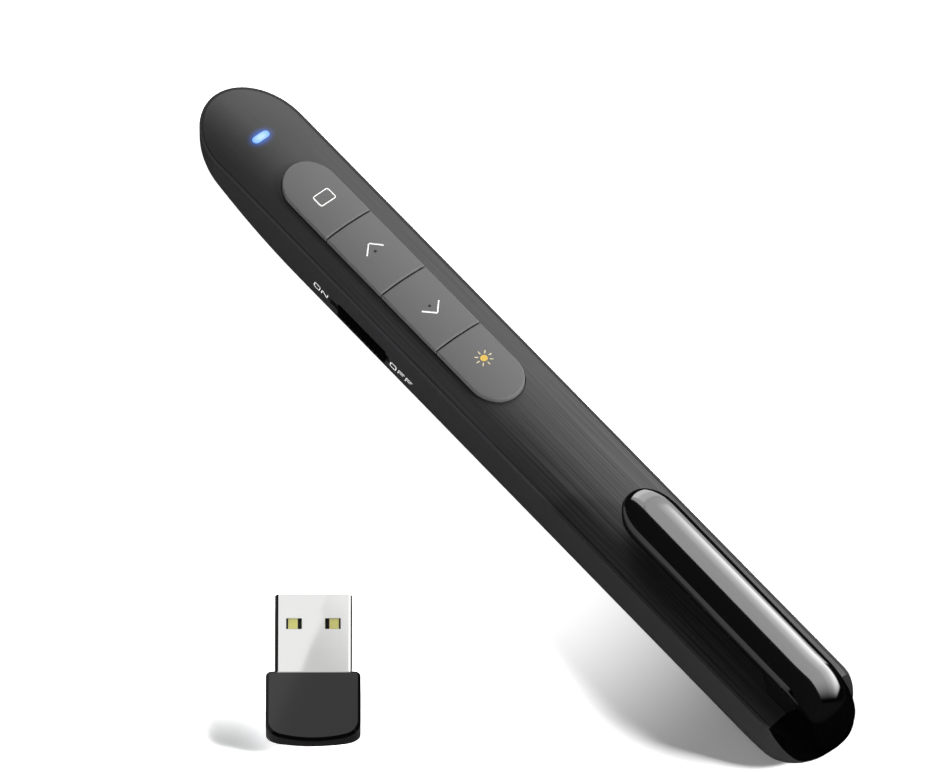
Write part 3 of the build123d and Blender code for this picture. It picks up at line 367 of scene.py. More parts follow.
class Coat(Shading):
    """A piece's material: one shader with a colour, which patterns can feed."""

    def __init__(self, name: str, colour: str, roughness: float) -> None:
        """Makes the material with its shader.

        Args:
            name: The material's name.
            colour: Its colour in sRGB.
            roughness: Its roughness.
        """
        super().__init__(name)
        self.material.diffuse_color = linear(colour)
        self.shader = self.add("ShaderNodeBsdfPrincipled", {}, {
            "Base Color": linear(colour), "Roughness": roughness})
        self.add("ShaderNodeOutputMaterial", {}, {"Surface": self.shader})

    def set(self, name: str, value: Any) -> None:
        """Sets one of the shader's inputs, or links it."""
        self.feed(self.shader.inputs[name], value)

    def light_distance(self, reach_mm: Point) -> bpy.types.NodeSocket:
        """Adds the distance from the status light's middle as a share of a reach.

        Args:
            reach_mm: The reach across the body and along it.

        Returns:
            The output that holds the share.
        """
        centred = self.add("ShaderNodeVectorMath", {"operation": "SUBTRACT"}, {
            0: self.place, 1: tuple(part * MM for part in LIGHT_PLACE)})
        scaled = self.add("ShaderNodeVectorMath", {"operation": "MULTIPLY"}, {
            0: centred, 1: (1 / (reach_mm[0] * MM), 1 / (reach_mm[1] * MM), 0.0)})
        return self.add("ShaderNodeVectorMath", {"operation": "LENGTH"}, {
            0: scaled}).outputs["Value"]


@dataclass(frozen=True)
class Finish:
    """What every finish has: a name, a colour and a roughness."""

    name: str
    colour: str
    roughness: float = 0.5

    def build(self) -> bpy.types.Material:
        """Makes the material and dresses it.

        Returns:
            The material.
        """
        coat = Coat(self.name, self.colour, self.roughness)
        self.dress(coat)
        return coat.material

    def dress(self, coat: Coat) -> None:
        """Adds what this finish has beyond a colour and a roughness."""

    def vary(self, coat: Coat, pattern: bpy.types.Node, shades: Point,
             rough_range: Point) -> None:
        """Lets a 0 to 1 pattern drive the shader's colour and roughness.

        Args:
            coat: The material.
            pattern: The node that gives the pattern.
            shades: How much of the colour there is where the pattern is 0 and where it is 1.
            rough_range: Roughness where the pattern is 0 and where it is 1.
        """
        base = linear(self.colour)
        dark, light = ((*(part * shade for part in base[:3]), 1.0) for shade in shades)
        tones = coat.add("ShaderNodeMix", {"data_type": "RGBA"}, {0: pattern, 6: dark, 7: light})
        coat.set("Base Color", tones.outputs[2])
        coat.set("Roughness", coat.add("ShaderNodeMapRange", {}, {
            "Value": pattern, "To Min": rough_range[0], "To Max": rough_range[1]}))


@dataclass(frozen=True)
class SparkErodedAbs(Finish):
    """ABS from a spark-eroded mould: a fine even grain that spreads the light."""

    # The real grain is too fine to show, so it is drawn a few times coarser.
    grain_mm: float = 0.28
    grain_height_mm: float = 0.012
    specular: float = 0.4
    shades: Point = (0.86, 1.14)
    rough_change: float = 0.06
    bump_share: float = 0.6

    def dress(self, coat: Coat) -> None:
        """Adds the grain as bump and as a slight change of tone and roughness.

        Args:
            coat: The material.
        """
        grain = coat.add("ShaderNodeTexNoise", {}, {
            "Vector": coat.place, "Scale": 1 / (self.grain_mm * MM), "Detail": 3.0,
            "Roughness": 0.6})
        self.vary(coat, grain, self.shades,
                  (self.roughness - self.rough_change, self.roughness + self.rough_change))
        coat.set("Normal", coat.add("ShaderNodeBump", {}, {
            "Strength": self.bump_share, "Distance": self.grain_height_mm * MM,
            "Height": grain}))
        coat.set("Specular IOR Level", self.specular)


@dataclass(frozen=True)
class BrushedFace(Finish):
    """Satin lacquer over a face brushed lengthwise: long fine lines along the body."""

    # The real lines are too fine to show, so they are drawn a few times wider.
    line_mm: float = 0.22
    line_length_mm: float = 40.0
    line_height_mm: float = 0.004
    shades: Point = (0.3, 1.7)
    contrast_ends: Point = (0.25, 0.75)
    rough_change: float = 0.1
    bump_share: float = 0.5
    specular: float = 1.0
    sheen_change: float = 0.4
    strong_y_mm: float = -12.0
    faint_y_mm: float = 60.0
    faint_share: float = 0.12
    # Painted glow: the cover itself gives off blue light round the status light.
    painted_glow_colour: str = "#2f7dff"
    painted_glow_reach_mm: Point = (2.9, 2.1)
    painted_glow_start: float = 0.1
    painted_glow_level: float = 0.5

    def dress(self, coat: Coat) -> None:
        """Adds the lines, strongest behind the keys, and a painted blue glow round the status
        light.

        Args:
            coat: The material.
        """
        stretched = coat.add("ShaderNodeMapping", {}, {
            "Vector": coat.place,
            "Scale": (1 / (self.line_mm * MM), 1 / (self.line_length_mm * MM), 0.0)})
        lines = coat.add("ShaderNodeTexNoise", {}, {
            "Vector": stretched, "Scale": 1.0, "Detail": 2.0, "Roughness": 0.7})
        parts = coat.add("ShaderNodeSeparateXYZ", {}, {0: coat.place})
        depth = coat.add("ShaderNodeMapRange", {}, {
            "Value": parts.outputs["Y"], "From Min": self.faint_y_mm * MM,
            "From Max": self.strong_y_mm * MM, "To Min": self.faint_share, "To Max": 1.0})
        centred = coat.add("ShaderNodeMath", {"operation": "SUBTRACT"}, {0: lines, 1: 0.5})
        deepened = coat.add("ShaderNodeMath", {"operation": "MULTIPLY_ADD"}, {
            0: centred, 1: depth, 2: 0.5})
        contrast = coat.add("ShaderNodeMapRange", {}, {
            "Value": deepened, "From Min": self.contrast_ends[0],
            "From Max": self.contrast_ends[1]})
        self.vary(coat, contrast, self.shades,
                  (self.roughness - self.rough_change, self.roughness + self.rough_change))
        coat.set("Normal", coat.add("ShaderNodeBump", {}, {
            "Strength": self.bump_share, "Distance": self.line_height_mm * MM,
            "Height": deepened}))
        coat.set("Specular IOR Level", coat.add("ShaderNodeMapRange", {}, {
            "Value": contrast, "To Min": self.specular - self.sheen_change,
            "To Max": self.specular + self.sheen_change}))
        # Painted glow: the cover emits blue light round the status light, standing in for the
        # light that falls on it.
        coat.set("Emission Strength", coat.add(
            "ShaderNodeMapRange", {"interpolation_type": "SMOOTHERSTEP"}, {
                "Value": coat.light_distance(self.painted_glow_reach_mm),
                "From Min": self.painted_glow_start, "From Max": 1.0,
                "To Min": self.painted_glow_level, "To Max": 0.0}))
        coat.set("Emission Color", linear(self.painted_glow_colour))


@dataclass(frozen=True)
class PianoGloss(Finish):
    """Polished ABS: deep black under a mirror-like face, with hardly any texture."""

    ripple_mm: float = 9.0
    ripple_height_mm: float = 0.004
    specular: float = 0.5
    index: float = 1.5
    shades: Point = (0.9, 1.1)
    rough_change: float = 0.02
    bump_share: float = 0.3

    def dress(self, coat: Coat) -> None:
        """Adds the moulding's faint ripple.

        Args:
            coat: The material.
        """
        ripple = coat.add("ShaderNodeTexNoise", {}, {
            "Vector": coat.place, "Scale": 1 / (self.ripple_mm * MM), "Detail": 1.0})
        self.vary(coat, ripple, self.shades, (self.roughness, self.roughness + self.rough_change))
        coat.set("Specular IOR Level", self.specular)
        coat.set("IOR", self.index)
        coat.set("Normal", coat.add("ShaderNodeBump", {}, {
            "Strength": self.bump_share, "Distance": self.ripple_height_mm * MM,
            "Height": ripple}))


@dataclass(frozen=True)
class Metal(Finish):
    """A metal with the fine lines of how it was rolled, turned or plated."""

    # Rolling and turning marks are finer than this, and are drawn as wide as they need to show.
    lines_mm: Place = (0.1, 4.0, 0.1)
    turn_deg: float = 0.0
    metallic: float = 1.0
    shades: Point = (0.94, 1.05)
    rough_shares: Point = (0.8, 1.25)

    def dress(self, coat: Coat) -> None:
        """Makes the shader metal and adds its lines.

        Args:
            coat: The material.
        """
        turned = coat.add("ShaderNodeMapping", {}, {
            "Vector": coat.place, "Rotation": (0.0, 0.0, math.radians(-self.turn_deg))})
        stretched = coat.add("ShaderNodeMapping", {}, {
            "Vector": turned, "Scale": tuple(1 / (size * MM) for size in self.lines_mm)})
        lines = coat.add("ShaderNodeTexNoise", {}, {
            "Vector": stretched, "Scale": 1.0, "Detail": 2.0})
        self.vary(coat, lines, self.shades,
                  (self.roughness * self.rough_shares[0], self.roughness * self.rough_shares[1]))
        coat.set("Metallic", self.metallic)


@dataclass(frozen=True)
class PrintedInk(Finish):
    """Pad-printed ink: flat, slightly uneven and less shiny than what it lies on."""

    # The ink's real pores are finer, and are drawn as wide as they need to show.
    speckle_mm: float = 0.15
    shades: Point = (0.95, 1.03)
    rough_change: float = 0.05

    def dress(self, coat: Coat) -> None:
        """Adds the ink's uneven cover.

        Args:
            coat: The material.
        """
        speckle = coat.add("ShaderNodeTexNoise", {}, {
            "Vector": coat.place, "Scale": 1 / (self.speckle_mm * MM), "Detail": 2.0})
        self.vary(coat, speckle, self.shades,
                  (self.roughness - self.rough_change, self.roughness + self.rough_change))


@dataclass(frozen=True)
class LitPipe(Finish):
    """Clear acrylic lit from below: almost white in the middle, blue towards its rim."""

    middle_colour: str = "#c4deff"
    rim_colour: str = "#3f86ff"
    reach_mm: Point = (2.0, 1.15)
    fade: Point = (0.2, 0.9)
    strength: float = 0.75

    def dress(self, coat: Coat) -> None:
        """Adds the light, which fades from the middle of the pipe's face.

        Args:
            coat: The material.
        """
        share = coat.add("ShaderNodeMapRange", {}, {
            "Value": coat.light_distance(self.reach_mm), "From Min": self.fade[0],
            "From Max": self.fade[1]})
        shades = coat.add("ShaderNodeMix", {"data_type": "RGBA"}, {
            0: share, 6: linear(self.middle_colour), 7: linear(self.rim_colour)})
        coat.set("Emission Color", shades.outputs[2])
        coat.set("Emission Strength", self.strength)


@dataclass(frozen=True)
class ClearGlass(Finish):
    """Ground optical glass with a slight tint."""

    haze_mm: float = 0.5
    haze_roughness: float = 0.03
    clearness: float = 0.9

    def dress(self, coat: Coat) -> None:
        """Lets the light through and adds the faintest polishing haze.

        Args:
            coat: The material.
        """
        haze = coat.add("ShaderNodeTexNoise", {}, {
            "Vector": coat.place, "Scale": 1 / (self.haze_mm * MM), "Detail": 2.0})
        coat.set("Roughness", coat.add("ShaderNodeMapRange", {}, {
            "Value": haze, "To Min": self.roughness,
            "To Max": self.roughness + self.haze_roughness}))
        coat.set("Transmission Weight", self.clearness)


@dataclass(frozen=True)
class SolderMask(Finish):
    """Green solder mask over glass-fibre board, with its copper tracks showing through."""

    track_mm: float = 0.9
    track_height_mm: float = 0.02
    track_edge: Point = (0.06, 0.1)
    unevenness: float = 0.35
    bump_share: float = 0.4
    track_colour: str = "#2f7a45"

    def dress(self, coat: Coat) -> None:
        """Adds the tracks as slightly raised lighter lines.

        Args:
            coat: The material.
        """
        cells = coat.add("ShaderNodeTexVoronoi", {"feature": "DISTANCE_TO_EDGE"}, {
            "Vector": coat.place, "Scale": 1 / (self.track_mm * MM),
            "Randomness": self.unevenness})
        track = coat.add("ShaderNodeMapRange", {}, {
            "Value": cells.outputs["Distance"], "From Min": self.track_edge[0],
            "From Max": self.track_edge[1]})
        tones = coat.add("ShaderNodeMix", {"data_type": "RGBA"}, {
            0: track, 6: linear(self.track_colour), 7: linear(self.colour)})
        coat.set("Base Color", tones.outputs[2])
        coat.set("Normal", coat.add("ShaderNodeBump", {"invert": True}, {
            "Strength": self.bump_share, "Distance": self.track_height_mm * MM,
            "Height": track}))


class Palette:
    """Every material of the set, made once."""

    def __init__(self) -> None:
        """Builds all the finishes."""
        # Case halves and door: fine spark-eroded grain, hardly any shine.
        self.case = SparkErodedAbs("spark_eroded_abs", "#2a2a2b", 0.55).build()
        # Cover: brushed lengthwise under satin lacquer, which draws out the highlight.
        self.cover = BrushedFace("brushed_cover_lacquer", "#1c1c1d", 0.42).build()
        # Keys: lighter grey, with a finer grain.
        self.key = SparkErodedAbs("soft_matt_key_abs", "#5a5a5a", 0.5, 0.2, 0.006, 0.9).build()
        # Clip: polished black that mirrors the lamps.
        self.clip = PianoGloss("polished_black_abs", "#030303", 0.05, specular=1.0,
                               index=2.2).build()
        # The moulding's part let in round the tail: the same black, left satin.
        self.skin = PianoGloss("satin_black_abs", "#030303", 0.35, specular=0.2).build()
        # Slider: dead black, so that its ribs barely show.
        self.knob = SparkErodedAbs("black_nylon_knob", "#040404", 0.7, 0.3, 0.012, 0.1).build()
        # Marks on the keys and the wall: flat ink that stands out from the satin faces.
        self.white_ink = PrintedInk("white_pad_print", "#e9e9e7", 0.55).build()
        self.amber_ink = PrintedInk("amber_pad_print", "#cfae52", 0.55).build()
        self.pale_ink = PrintedInk("pale_amber_pad_print", "#d8cba6", 0.55).build()
        self.dark_ink = PrintedInk("dark_pad_print", "#1a1a1a", 0.55).build()
        # Status light: clear acrylic over the blue lamp.
        self.pipe = LitPipe("lit_clear_acrylic", "#5c82b8", 0.2).build()
        # Receiver: bright plated plug, dull gold contacts and a cap that mirrors the card.
        self.plug = Metal("nickel_plated_steel", "#f2f2f1", 0.02, (0.08, 5.0, 0.08), -38.9,
                          shades=(0.985, 1.01)).build()
        self.gold = Metal("dull_gold_flash", "#fffaa0", 0.6, (0.08, 5.0, 0.08), -38.9,
                          metallic=0.1).build()
        self.cap = PianoGloss("semi_gloss_cap_abs", "#020202", 0.03, specular=0.75).build()
        # Inside: boards, packages, steel and brass parts, glass and the cell's sleeve.
        self.board = SolderMask("solder_mask", "#0f4a26", 0.35).build()
        self.package = SparkErodedAbs("epoxy_package", "#1c1c1d", 0.6, 0.15, 0.006).build()
        self.insulator = SparkErodedAbs("black_insulator_lcp", "#101010", 0.6, 0.2, 0.006).build()
        self.steel = Metal("tinned_spring_steel", "#b9b9b4", 0.3).build()
        self.brass = Metal("turned_brass", "#c9a24a", 0.28, (6.0, 0.06, 0.06)).build()
        self.glass = ClearGlass("coated_glass", "#eef4f8", 0.02).build()
        self.resin = PrintedInk("led_resin", "#e8e6d2", 0.3).build()
        self.sleeve = PianoGloss("cell_film_sleeve", "#31485c", 0.3).build()


# ---- Shapes in common ----------------------------------------------------------------
def bezier(start: Point, corner: Point, end: Point, steps: int) -> list[Point]:
    """Points of a quadratic curve after its start, up to and with its end.

    Args:
        start: Where it starts.
        corner: The corner that it rounds.
        end: Where it ends.
        steps: How many points.

    Returns:
        The points.
    """
    points = []
    for index in range(1, steps + 1):
        t = index / steps
        points.append(tuple(
            (1 - t) ** 2 * a + 2 * t * (1 - t) * b + t ** 2 * c
            for a, b, c in zip(start, corner, end)))
    return points


def arc_points(start: Point, middle: Point, end: Point, steps: int) -> list[Point]:
    """Points along the circle through three places, after the first.

    Args:
        start: Where the arc starts.
        middle: A place that it passes through.
        end: Where it ends.
        steps: How many points.

    Returns:
        The points.
    """
    ax, ay = start
    bx, by = middle
    cx, cy = end
    scale = 2 * (ax * (by - cy) + bx * (cy - ay) + cx * (ay - by))
    a2, b2, c2 = ax ** 2 + ay ** 2, bx ** 2 + by ** 2, cx ** 2 + cy ** 2
    ox = (a2 * (by - cy) + b2 * (cy - ay) + c2 * (ay - by)) / scale
    oy = (a2 * (cx - bx) + b2 * (ax - cx) + c2 * (bx - ax)) / scale
    radius = math.hypot(ax - ox, ay - oy)
    first = math.atan2(ay - oy, ax - ox)
    half = math.atan2(by - oy, bx - ox)
    last = math.atan2(cy - oy, cx - ox)
    turn = 2 * math.pi
    if (half - first) % turn < (last - first) % turn:
        sweep = (last - first) % turn
    else:
        sweep = (last - first) % turn - turn
    return [(ox + radius * math.cos(first + sweep * k / steps),
             oy + radius * math.sin(first + sweep * k / steps))
            for k in range(1, steps + 1)]


def loft(name: str, rings: Sequence[Sequence[Vector]]) -> bpy.types.Object:
    """Joins closed rings of points into a skin and closes both ends with a fan.

    Args:
        name: The object's name.
        rings: Rings with the same number of points each.

    Returns:
        The new object.
    """
    count = len(rings[0])
    points = [point for ring in rings for point in ring]
    faces = []
    for row in range(len(rings) - 1):
        for column in range(count):
            near = row * count + column
            side = row * count + (column + 1) % count
            faces.append((near, side, side + count, near + count))
    for row in (0, len(rings) - 1):
        centre = sum(rings[row], Vector()) / count
        points.append(centre)
        for column in range(count):
            faces.append((row * count + column, row * count + (column + 1) % count,
                          len(points) - 1))
    return mesh_object(name, points, faces)


# ---- The clip ------------------------------------------------------------------------
@dataclass
class PocketClip:
    """The gloss clip and its end round the tail, one moulding as the real one is."""

    palette: Palette
    width: float = 9.0
    crest: float = 20.6
    underside: float = 17.3
    dome_rise: float = 1.1
    dome_limit: float = 0.6
    dome_steps: int = 12
    nose_y: float = -27.0
    nose_round: float = 6.3
    nose_tip_share: float = 0.02
    nose_drop: float = 1.8
    nose_run: float = 4.5
    nose_steps: int = 14
    arm_steps: int = 24
    root_y: float = -66.0
    root_z: float = 20.1
    step_half: float = 0.3
    step_z: float = 12.6
    knee_y: float = -70.5
    end: Point = (-78.1, 11.5)
    end_steps: int = 26
    foot: Point = (-75.6, 4.3)
    foot_width: float = 3.8
    foot_inner_y: float = -75.0
    foot_steps: int = 8
    inner_centre: Point = (-69.4, 5.35)
    inner_round: float = 6.9
    taper_z: float = 17.0
    shoulder_share: float = 0.707
    bulge: float = 0.3
    edge_round: float = 1.5
    edge_drop: float = 0.8
    edge_steps: int = 7
    lower_round: float = 0.35
    lower_steps: int = 3
    inner_share: float = 0.4
    neck: Point = (-66.5, -62.5)
    skin_top: float = 13.25
    skin_end: float = -76.36

    def outer_line(self) -> list[Point]:
        """Draws the crest line in the side view.

        Returns:
            Its points, from the nose's tip to the foot under the tail.
        """
        tip = (self.nose_y, self.crest - self.nose_drop)
        top = (self.nose_y - self.nose_run, self.crest)
        line = [tip] + bezier(tip, (self.nose_y, self.crest), top, self.nose_steps)
        root = (self.root_y, self.root_z)
        line += [tuple(a + (b - a) * k / self.arm_steps for a, b in zip(top, root))
                 for k in range(1, self.arm_steps + 1)]
        knee = (self.knee_y, self.root_z)
        line += [((root[0] + knee[0]) / 2, self.root_z), knee]
        shoulder = (knee[0] + self.shoulder_share * (self.end[0] - knee[0]),
                    self.end[1] + self.shoulder_share * (knee[1] - self.end[1]))
        line += arc_points(knee, shoulder, self.end, self.end_steps)
        bulge = (self.end[0] + self.bulge, (self.end[1] + self.foot[1]) / 2)
        line += arc_points(self.end, bulge, self.foot, self.foot_steps)
        return line

    def inner_point(self, outer: Point) -> Point:
        """Finds the place on the moulding's inner side that faces a place on its crest line.

        Args:
            outer: The place on the crest line.

        Returns:
            The place on the inner side.
        """
        y, z = outer
        if y > self.root_y + self.step_half:
            return (y, self.underside)
        if y > self.root_y - self.step_half:
            return (y, self.step_z)
        centre = self.inner_centre
        if z < centre[1]:
            return (self.foot_inner_y, z)
        share = min(1.0, self.inner_round / math.hypot(y - centre[0], z - centre[1]))
        return (centre[0] + (y - centre[0]) * share, centre[1] + (z - centre[1]) * share)

    def half_width(self, outer: Point) -> float:
        """Works out half the moulding's width, which tapers at the nose and at the foot.

        Args:
            outer: A place on the crest line.

        Returns:
            Half the width there.
        """
        y, z = outer
        half = self.width / 2
        nose_centre = self.nose_y - self.nose_round
        if y > nose_centre:
            share = (y - nose_centre) / self.nose_round
            half *= math.sqrt(max(1 - share ** 2, self.nose_tip_share ** 2))
        if z < self.taper_z and y < self.root_y:
            fall = self.taper_z - self.foot[1]
            inset = (self.width - self.foot_width) / 2
            bend = (fall ** 2 + inset ** 2) / (2 * inset)
            half -= bend - math.sqrt(bend ** 2 - (self.taper_z - z) ** 2)
        return half

    def section(self, half: float, depth: float) -> list[Point]:
        """One side of the moulding's section, as places across and down from the crest.

        Args:
            half: Half the width.
            depth: From the crest to the inner side.

        Returns:
            Points from the crest to the middle of the inner side.
        """
        scale = half / (self.width / 2)
        rise = min(self.dome_rise * scale, depth * self.dome_limit)
        radius = (half ** 2 + rise ** 2) / (2 * rise)
        upper = self.edge_round * scale
        points = []
        for k in range(self.dome_steps + 1):
            x = (half - upper) * k / self.dome_steps
            points.append((x, radius - math.sqrt(radius ** 2 - x ** 2)))
        points += bezier(points[-1], (half, rise), (half, rise + upper * self.edge_drop),
                         self.edge_steps)
        lower = self.lower_round * scale
        points += bezier((half, depth - lower), (half, depth), (half - lower, depth),
                         self.lower_steps)
        points.append((half * self.inner_share, depth))
        return points

    def build(self) -> bpy.types.Object:
        """Makes the moulding and lays it over the clip's two nodes.

        Returns:
            The moulding.
        """
        rings = []
        for outer in self.outer_line():
            inner = self.inner_point(outer)
            depth = math.hypot(outer[0] - inner[0], outer[1] - inner[1])
            down = Vector((0.0, inner[0] - outer[0], inner[1] - outer[1])) / depth
            base = Vector((0.0, outer[0], outer[1]))
            side = self.section(self.half_width(outer), depth)
            right = [base + Vector((x, 0.0, 0.0)) + down * drop for x, drop in side]
            left = [base + Vector((-x, 0.0, 0.0)) + down * drop for x, drop in side[1:]]
            rings.append([point * MM for point in right + left[::-1]])
        clip = loft("pocket_clip", rings)
        shade(clip)
        clip.data.materials.append(self.palette.clip)
        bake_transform(clip)
        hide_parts("clip_arm", "tail_strap")
        LOG.info("%s on housing and clip_arm, %d faces", clip.name, len(clip.data.polygons))
        return clip

    def end_skin(self) -> bpy.types.Object:
        """Makes the part of the moulding that is let in round the body's end.

        Returns:
            The part.
        """
        skin = smooth_copy("tail_strap", self.palette.skin, "housing")
        skin.data.attributes.remove(skin.data.attributes["custom_normal"])
        work = bmesh.new()
        work.from_mesh(skin.data)
        for place, normal in (((0.0, 0.0, self.skin_top * MM), (0.0, 0.0, 1.0)),
                              ((0.0, self.skin_end * MM, 0.0), (0.0, -1.0, 0.0))):
            everything = work.verts[:] + work.edges[:] + work.faces[:]
            bmesh.ops.bisect_plane(work, geom=everything, plane_co=place, plane_no=normal,
                                   clear_outer=True)
            open_edges = [edge for edge in work.edges if edge.is_boundary]
            bmesh.ops.holes_fill(work, edges=open_edges)
        bmesh.ops.recalc_face_normals(work, faces=work.faces)
        work.to_mesh(skin.data)
        work.free()
        shade(skin)
        weigh_normals(skin)
        return skin


# ---- Casing and receiver -------------------------------------------------------------
@dataclass
class Casing:
    """The case halves, the door, the keys and the slider, taken from their solids."""

    palette: Palette

    def build(self) -> None:
        """Makes the smooth copies of the case's nodes."""
        paint = self.palette
        smooth_copy("bottom_shell", paint.case, "housing")
        smooth_copy("battery_door", paint.case, "battery_door")
        smooth_copy("top_cover", paint.cover, "housing")
        smooth_copy("light_pipe", paint.pipe, "housing")
        smooth_copy("power_slider", paint.knob, "power_slider")
        for key in ("key_screen", "key_page_up", "key_page_down", "key_laser"):
            smooth_copy(key, paint.key, key)


@dataclass
class Receiver:
    """The plug-in receiver's outside."""

    palette: Palette

    def build(self) -> None:
        """Makes the smooth copies of the receiver's outer nodes."""
        smooth_copy("usb_shell", self.palette.plug, "housing")
        smooth_copy("receiver_cap", self.palette.cap, "housing")


# ---- Printed marks -------------------------------------------------------------------
class Letter(Enum):
    """Line-drawn letters on a grid one wide and one high, as open or closed paths."""

    O = (((0.1, 0.0), (0.9, 0.0), (0.9, 1.0), (0.1, 1.0), (0.1, 0.0)),)
    N = (((0.1, 0.0), (0.1, 1.0), (0.9, 0.0), (0.9, 1.0)),)
    F = (((0.15, 0.0), (0.15, 1.0), (1.0, 1.0)), ((0.15, 0.5), (0.85, 0.5)))


@dataclass
class Marks:
    """The marks on the keys and the words by the slider."""

    palette: Palette
    ink_rise: float = 0.03
    ink_depth: float = 0.05
    frame_middle: Point = (0.15, 48.9)
    frame_size: Point = (2.95, 2.2)
    frame_stroke: float = 0.24
    frame_corner: float = 0.35
    up_apex: Point = (0.0, 37.7)
    down_apex: Point = (0.1, 20.65)
    chevron_half: float = 1.68
    chevron_depth: float = 1.75
    chevron_stroke: float = 0.28
    chevron_corner: float = 0.12
    up_dot: Point = (-0.1, 35.8)
    down_dot: Point = (0.0, 22.4)
    dot_radius: float = 0.24
    dot_points: int = 16
    sun_middle: Point = (0.4, 9.4)
    sun_disc: float = 0.6
    sun_ring: float = 1.2
    sun_rays: int = 8
    ray_size: Point = (0.6, 0.16)
    wall_x: float = -8.25
    letter_height: float = 1.15
    letter_width: float = 1.665
    letter_pitch: float = 1.88
    letter_slant: float = 0.35
    letter_stroke: float = 0.2
    letter_corner: float = 0.22
    on_place: Point = (41.3, 6.3)
    off_place: Point = (22.3, 5.7)

    @property
    def thickness(self) -> float:
        """The ink's whole thickness in metres, from its foot in the plastic to its face."""
        return (self.ink_rise + self.ink_depth) * MM

    def path_object(self, name: str, paths: Sequence[Sequence[Point]]) -> bpy.types.Object:
        """Makes an object of bare edges from paths in millimetres.

        Args:
            name: The object's name.
            paths: Paths, closed where the last point is the first.

        Returns:
            The new object.
        """
        points: list[Place] = []
        edges: list[tuple[int, int]] = []
        for path in paths:
            closed = path[0] == path[-1]
            own = path[:-1] if closed else path
            first = len(points)
            points += [(x * MM, y * MM, 0.0) for x, y in own]
            edges += [(first + k, first + k + 1) for k in range(len(own) - 1)]
            if closed:
                edges.append((first + len(own) - 1, first))
        mesh = bpy.data.meshes.new(name)
        mesh.from_pydata(points, edges, [])
        return new_object(name, mesh)

    def print_on(self, thing: bpy.types.Object, key: str) -> None:
        """Lays a flat mark on a key, barely proud of it, and lets it ride on the key.

        Args:
            thing: The mark, drawn from above around height 0.
            key: The key's node and body.
        """
        thing.data.transform(Matrix.Translation((0, 0, (self.ink_rise - self.ink_depth) / 2 * MM)))
        drape(thing, key)
        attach(thing, key)
        LOG.info("%s on %s, %d faces", thing.name, key, len(thing.data.polygons))

    def screen_mark(self, stroke: Stroke) -> bpy.types.Object:
        """Draws the frame that stands for the screen.

        Args:
            stroke: The tree that thickens the paths.

        Returns:
            The mark.
        """
        half_x, half_y = self.frame_size[0] / 2, self.frame_size[1] / 2
        x, y = self.frame_middle
        corners = [(x - half_x, y - half_y), (x + half_x, y - half_y), (x + half_x, y + half_y),
                   (x - half_x, y + half_y), (x - half_x, y - half_y)]
        return stroke.grow(self.path_object("screen_mark", [corners]), Thickness=self.thickness,
                           Width=self.frame_stroke * MM, Corner=self.frame_corner * MM)

    def chevron(self, name: str, apex: Point, direction: int,
                stroke: Stroke) -> bpy.types.Object:
        """Draws a chevron that points along the body.

        Args:
            name: The object's name.
            apex: Its point.
            direction: 1 towards the tip, -1 towards the tail.
            stroke: The tree that thickens the paths.

        Returns:
            The mark.
        """
        back = apex[1] - direction * self.chevron_depth
        path = [(apex[0] - self.chevron_half, back), apex, (apex[0] + self.chevron_half, back)]
        return stroke.grow(self.path_object(name, [path]), Thickness=self.thickness,
                           Width=self.chevron_stroke * MM, Corner=self.chevron_corner * MM)

    def dot(self, name: str, place: Point) -> bpy.types.Object:
        """Makes a small round dark dot.

        Args:
            name: The object's name.
            place: Its middle, in millimetres.

        Returns:
            The dot.
        """
        rings = []
        for height in (-self.thickness / 2, self.thickness / 2):
            rings.append([Vector((
                (place[0] + self.dot_radius * math.cos(math.tau * k / self.dot_points)) * MM,
                (place[1] + self.dot_radius * math.sin(math.tau * k / self.dot_points)) * MM,
                height)) for k in range(self.dot_points)])
        thing = loft(name, rings)
        thing.data.materials.append(self.palette.dark_ink)
        return thing

    def sun_mark(self) -> bpy.types.Object:
        """Draws the sun that stands for the laser.

        Returns:
            The mark.
        """
        sun = Sun(self.palette.amber_ink, self.palette.pale_ink, self.sun_rays)
        mark = sun.grow(self.path_object("sun_mark", [[(0.0, 0.0), (1.0, 0.0)]]),
                        Disc=self.sun_disc * MM, Ring=self.sun_ring * MM,
                        Length=self.ray_size[0] * MM, Width=self.ray_size[1] * MM,
                        Thickness=self.thickness)
        mark.data.transform(Matrix.Translation((*(part * MM for part in self.sun_middle), 0.0)))
        return mark

    def word(self, name: str, letters: Sequence[Letter], place: Point, stroke: Stroke) -> None:
        """Prints a word on the side wall, to be read with the tip to the left.

        Args:
            name: The object's name.
            letters: Its letters.
            place: Where it starts along the body, and the height of its foot.
            stroke: The tree that thickens the paths.
        """
        paths = []
        for index, letter in enumerate(letters):
            for path in letter.value:
                paths.append([(index * self.letter_pitch + x * self.letter_width
                               + y * self.letter_slant, y * self.letter_height)
                              for x, y in path])
        thing = self.path_object(name, paths)
        stroke.grow(thing, Width=self.letter_stroke * MM, Thickness=self.thickness,
                    Corner=self.letter_corner * MM)
        x = self.wall_x - (self.ink_rise - self.ink_depth) / 2
        upright = Matrix(((0, 0, -1, x * MM), (-1, 0, 0, place[0] * MM),
                          (0, 1, 0, place[1] * MM), (0, 0, 0, 1)))
        thing.data.transform(upright)
        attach(thing, "housing")
        LOG.info("%s on the wall, %d faces", name, len(thing.data.polygons))

    def build(self) -> None:
        """Prints every mark."""
        stroke = Stroke(self.palette.white_ink)
        self.print_on(self.screen_mark(stroke), "key_screen")
        self.print_on(self.chevron("page_up_mark", self.up_apex, 1, stroke), "key_page_up")
        self.print_on(self.chevron("page_down_mark", self.down_apex, -1, stroke),
                      "key_page_down")
        self.print_on(self.dot("page_up_dot", self.up_dot), "key_page_up")
        self.print_on(self.dot("page_down_dot", self.down_dot), "key_page_down")
        self.print_on(self.sun_mark(), "key_laser")
        self.word("word_on", (Letter.O, Letter.N), self.on_place, stroke)
        self.word("word_off", (Letter.O, Letter.F, Letter.F), self.off_place, stroke)


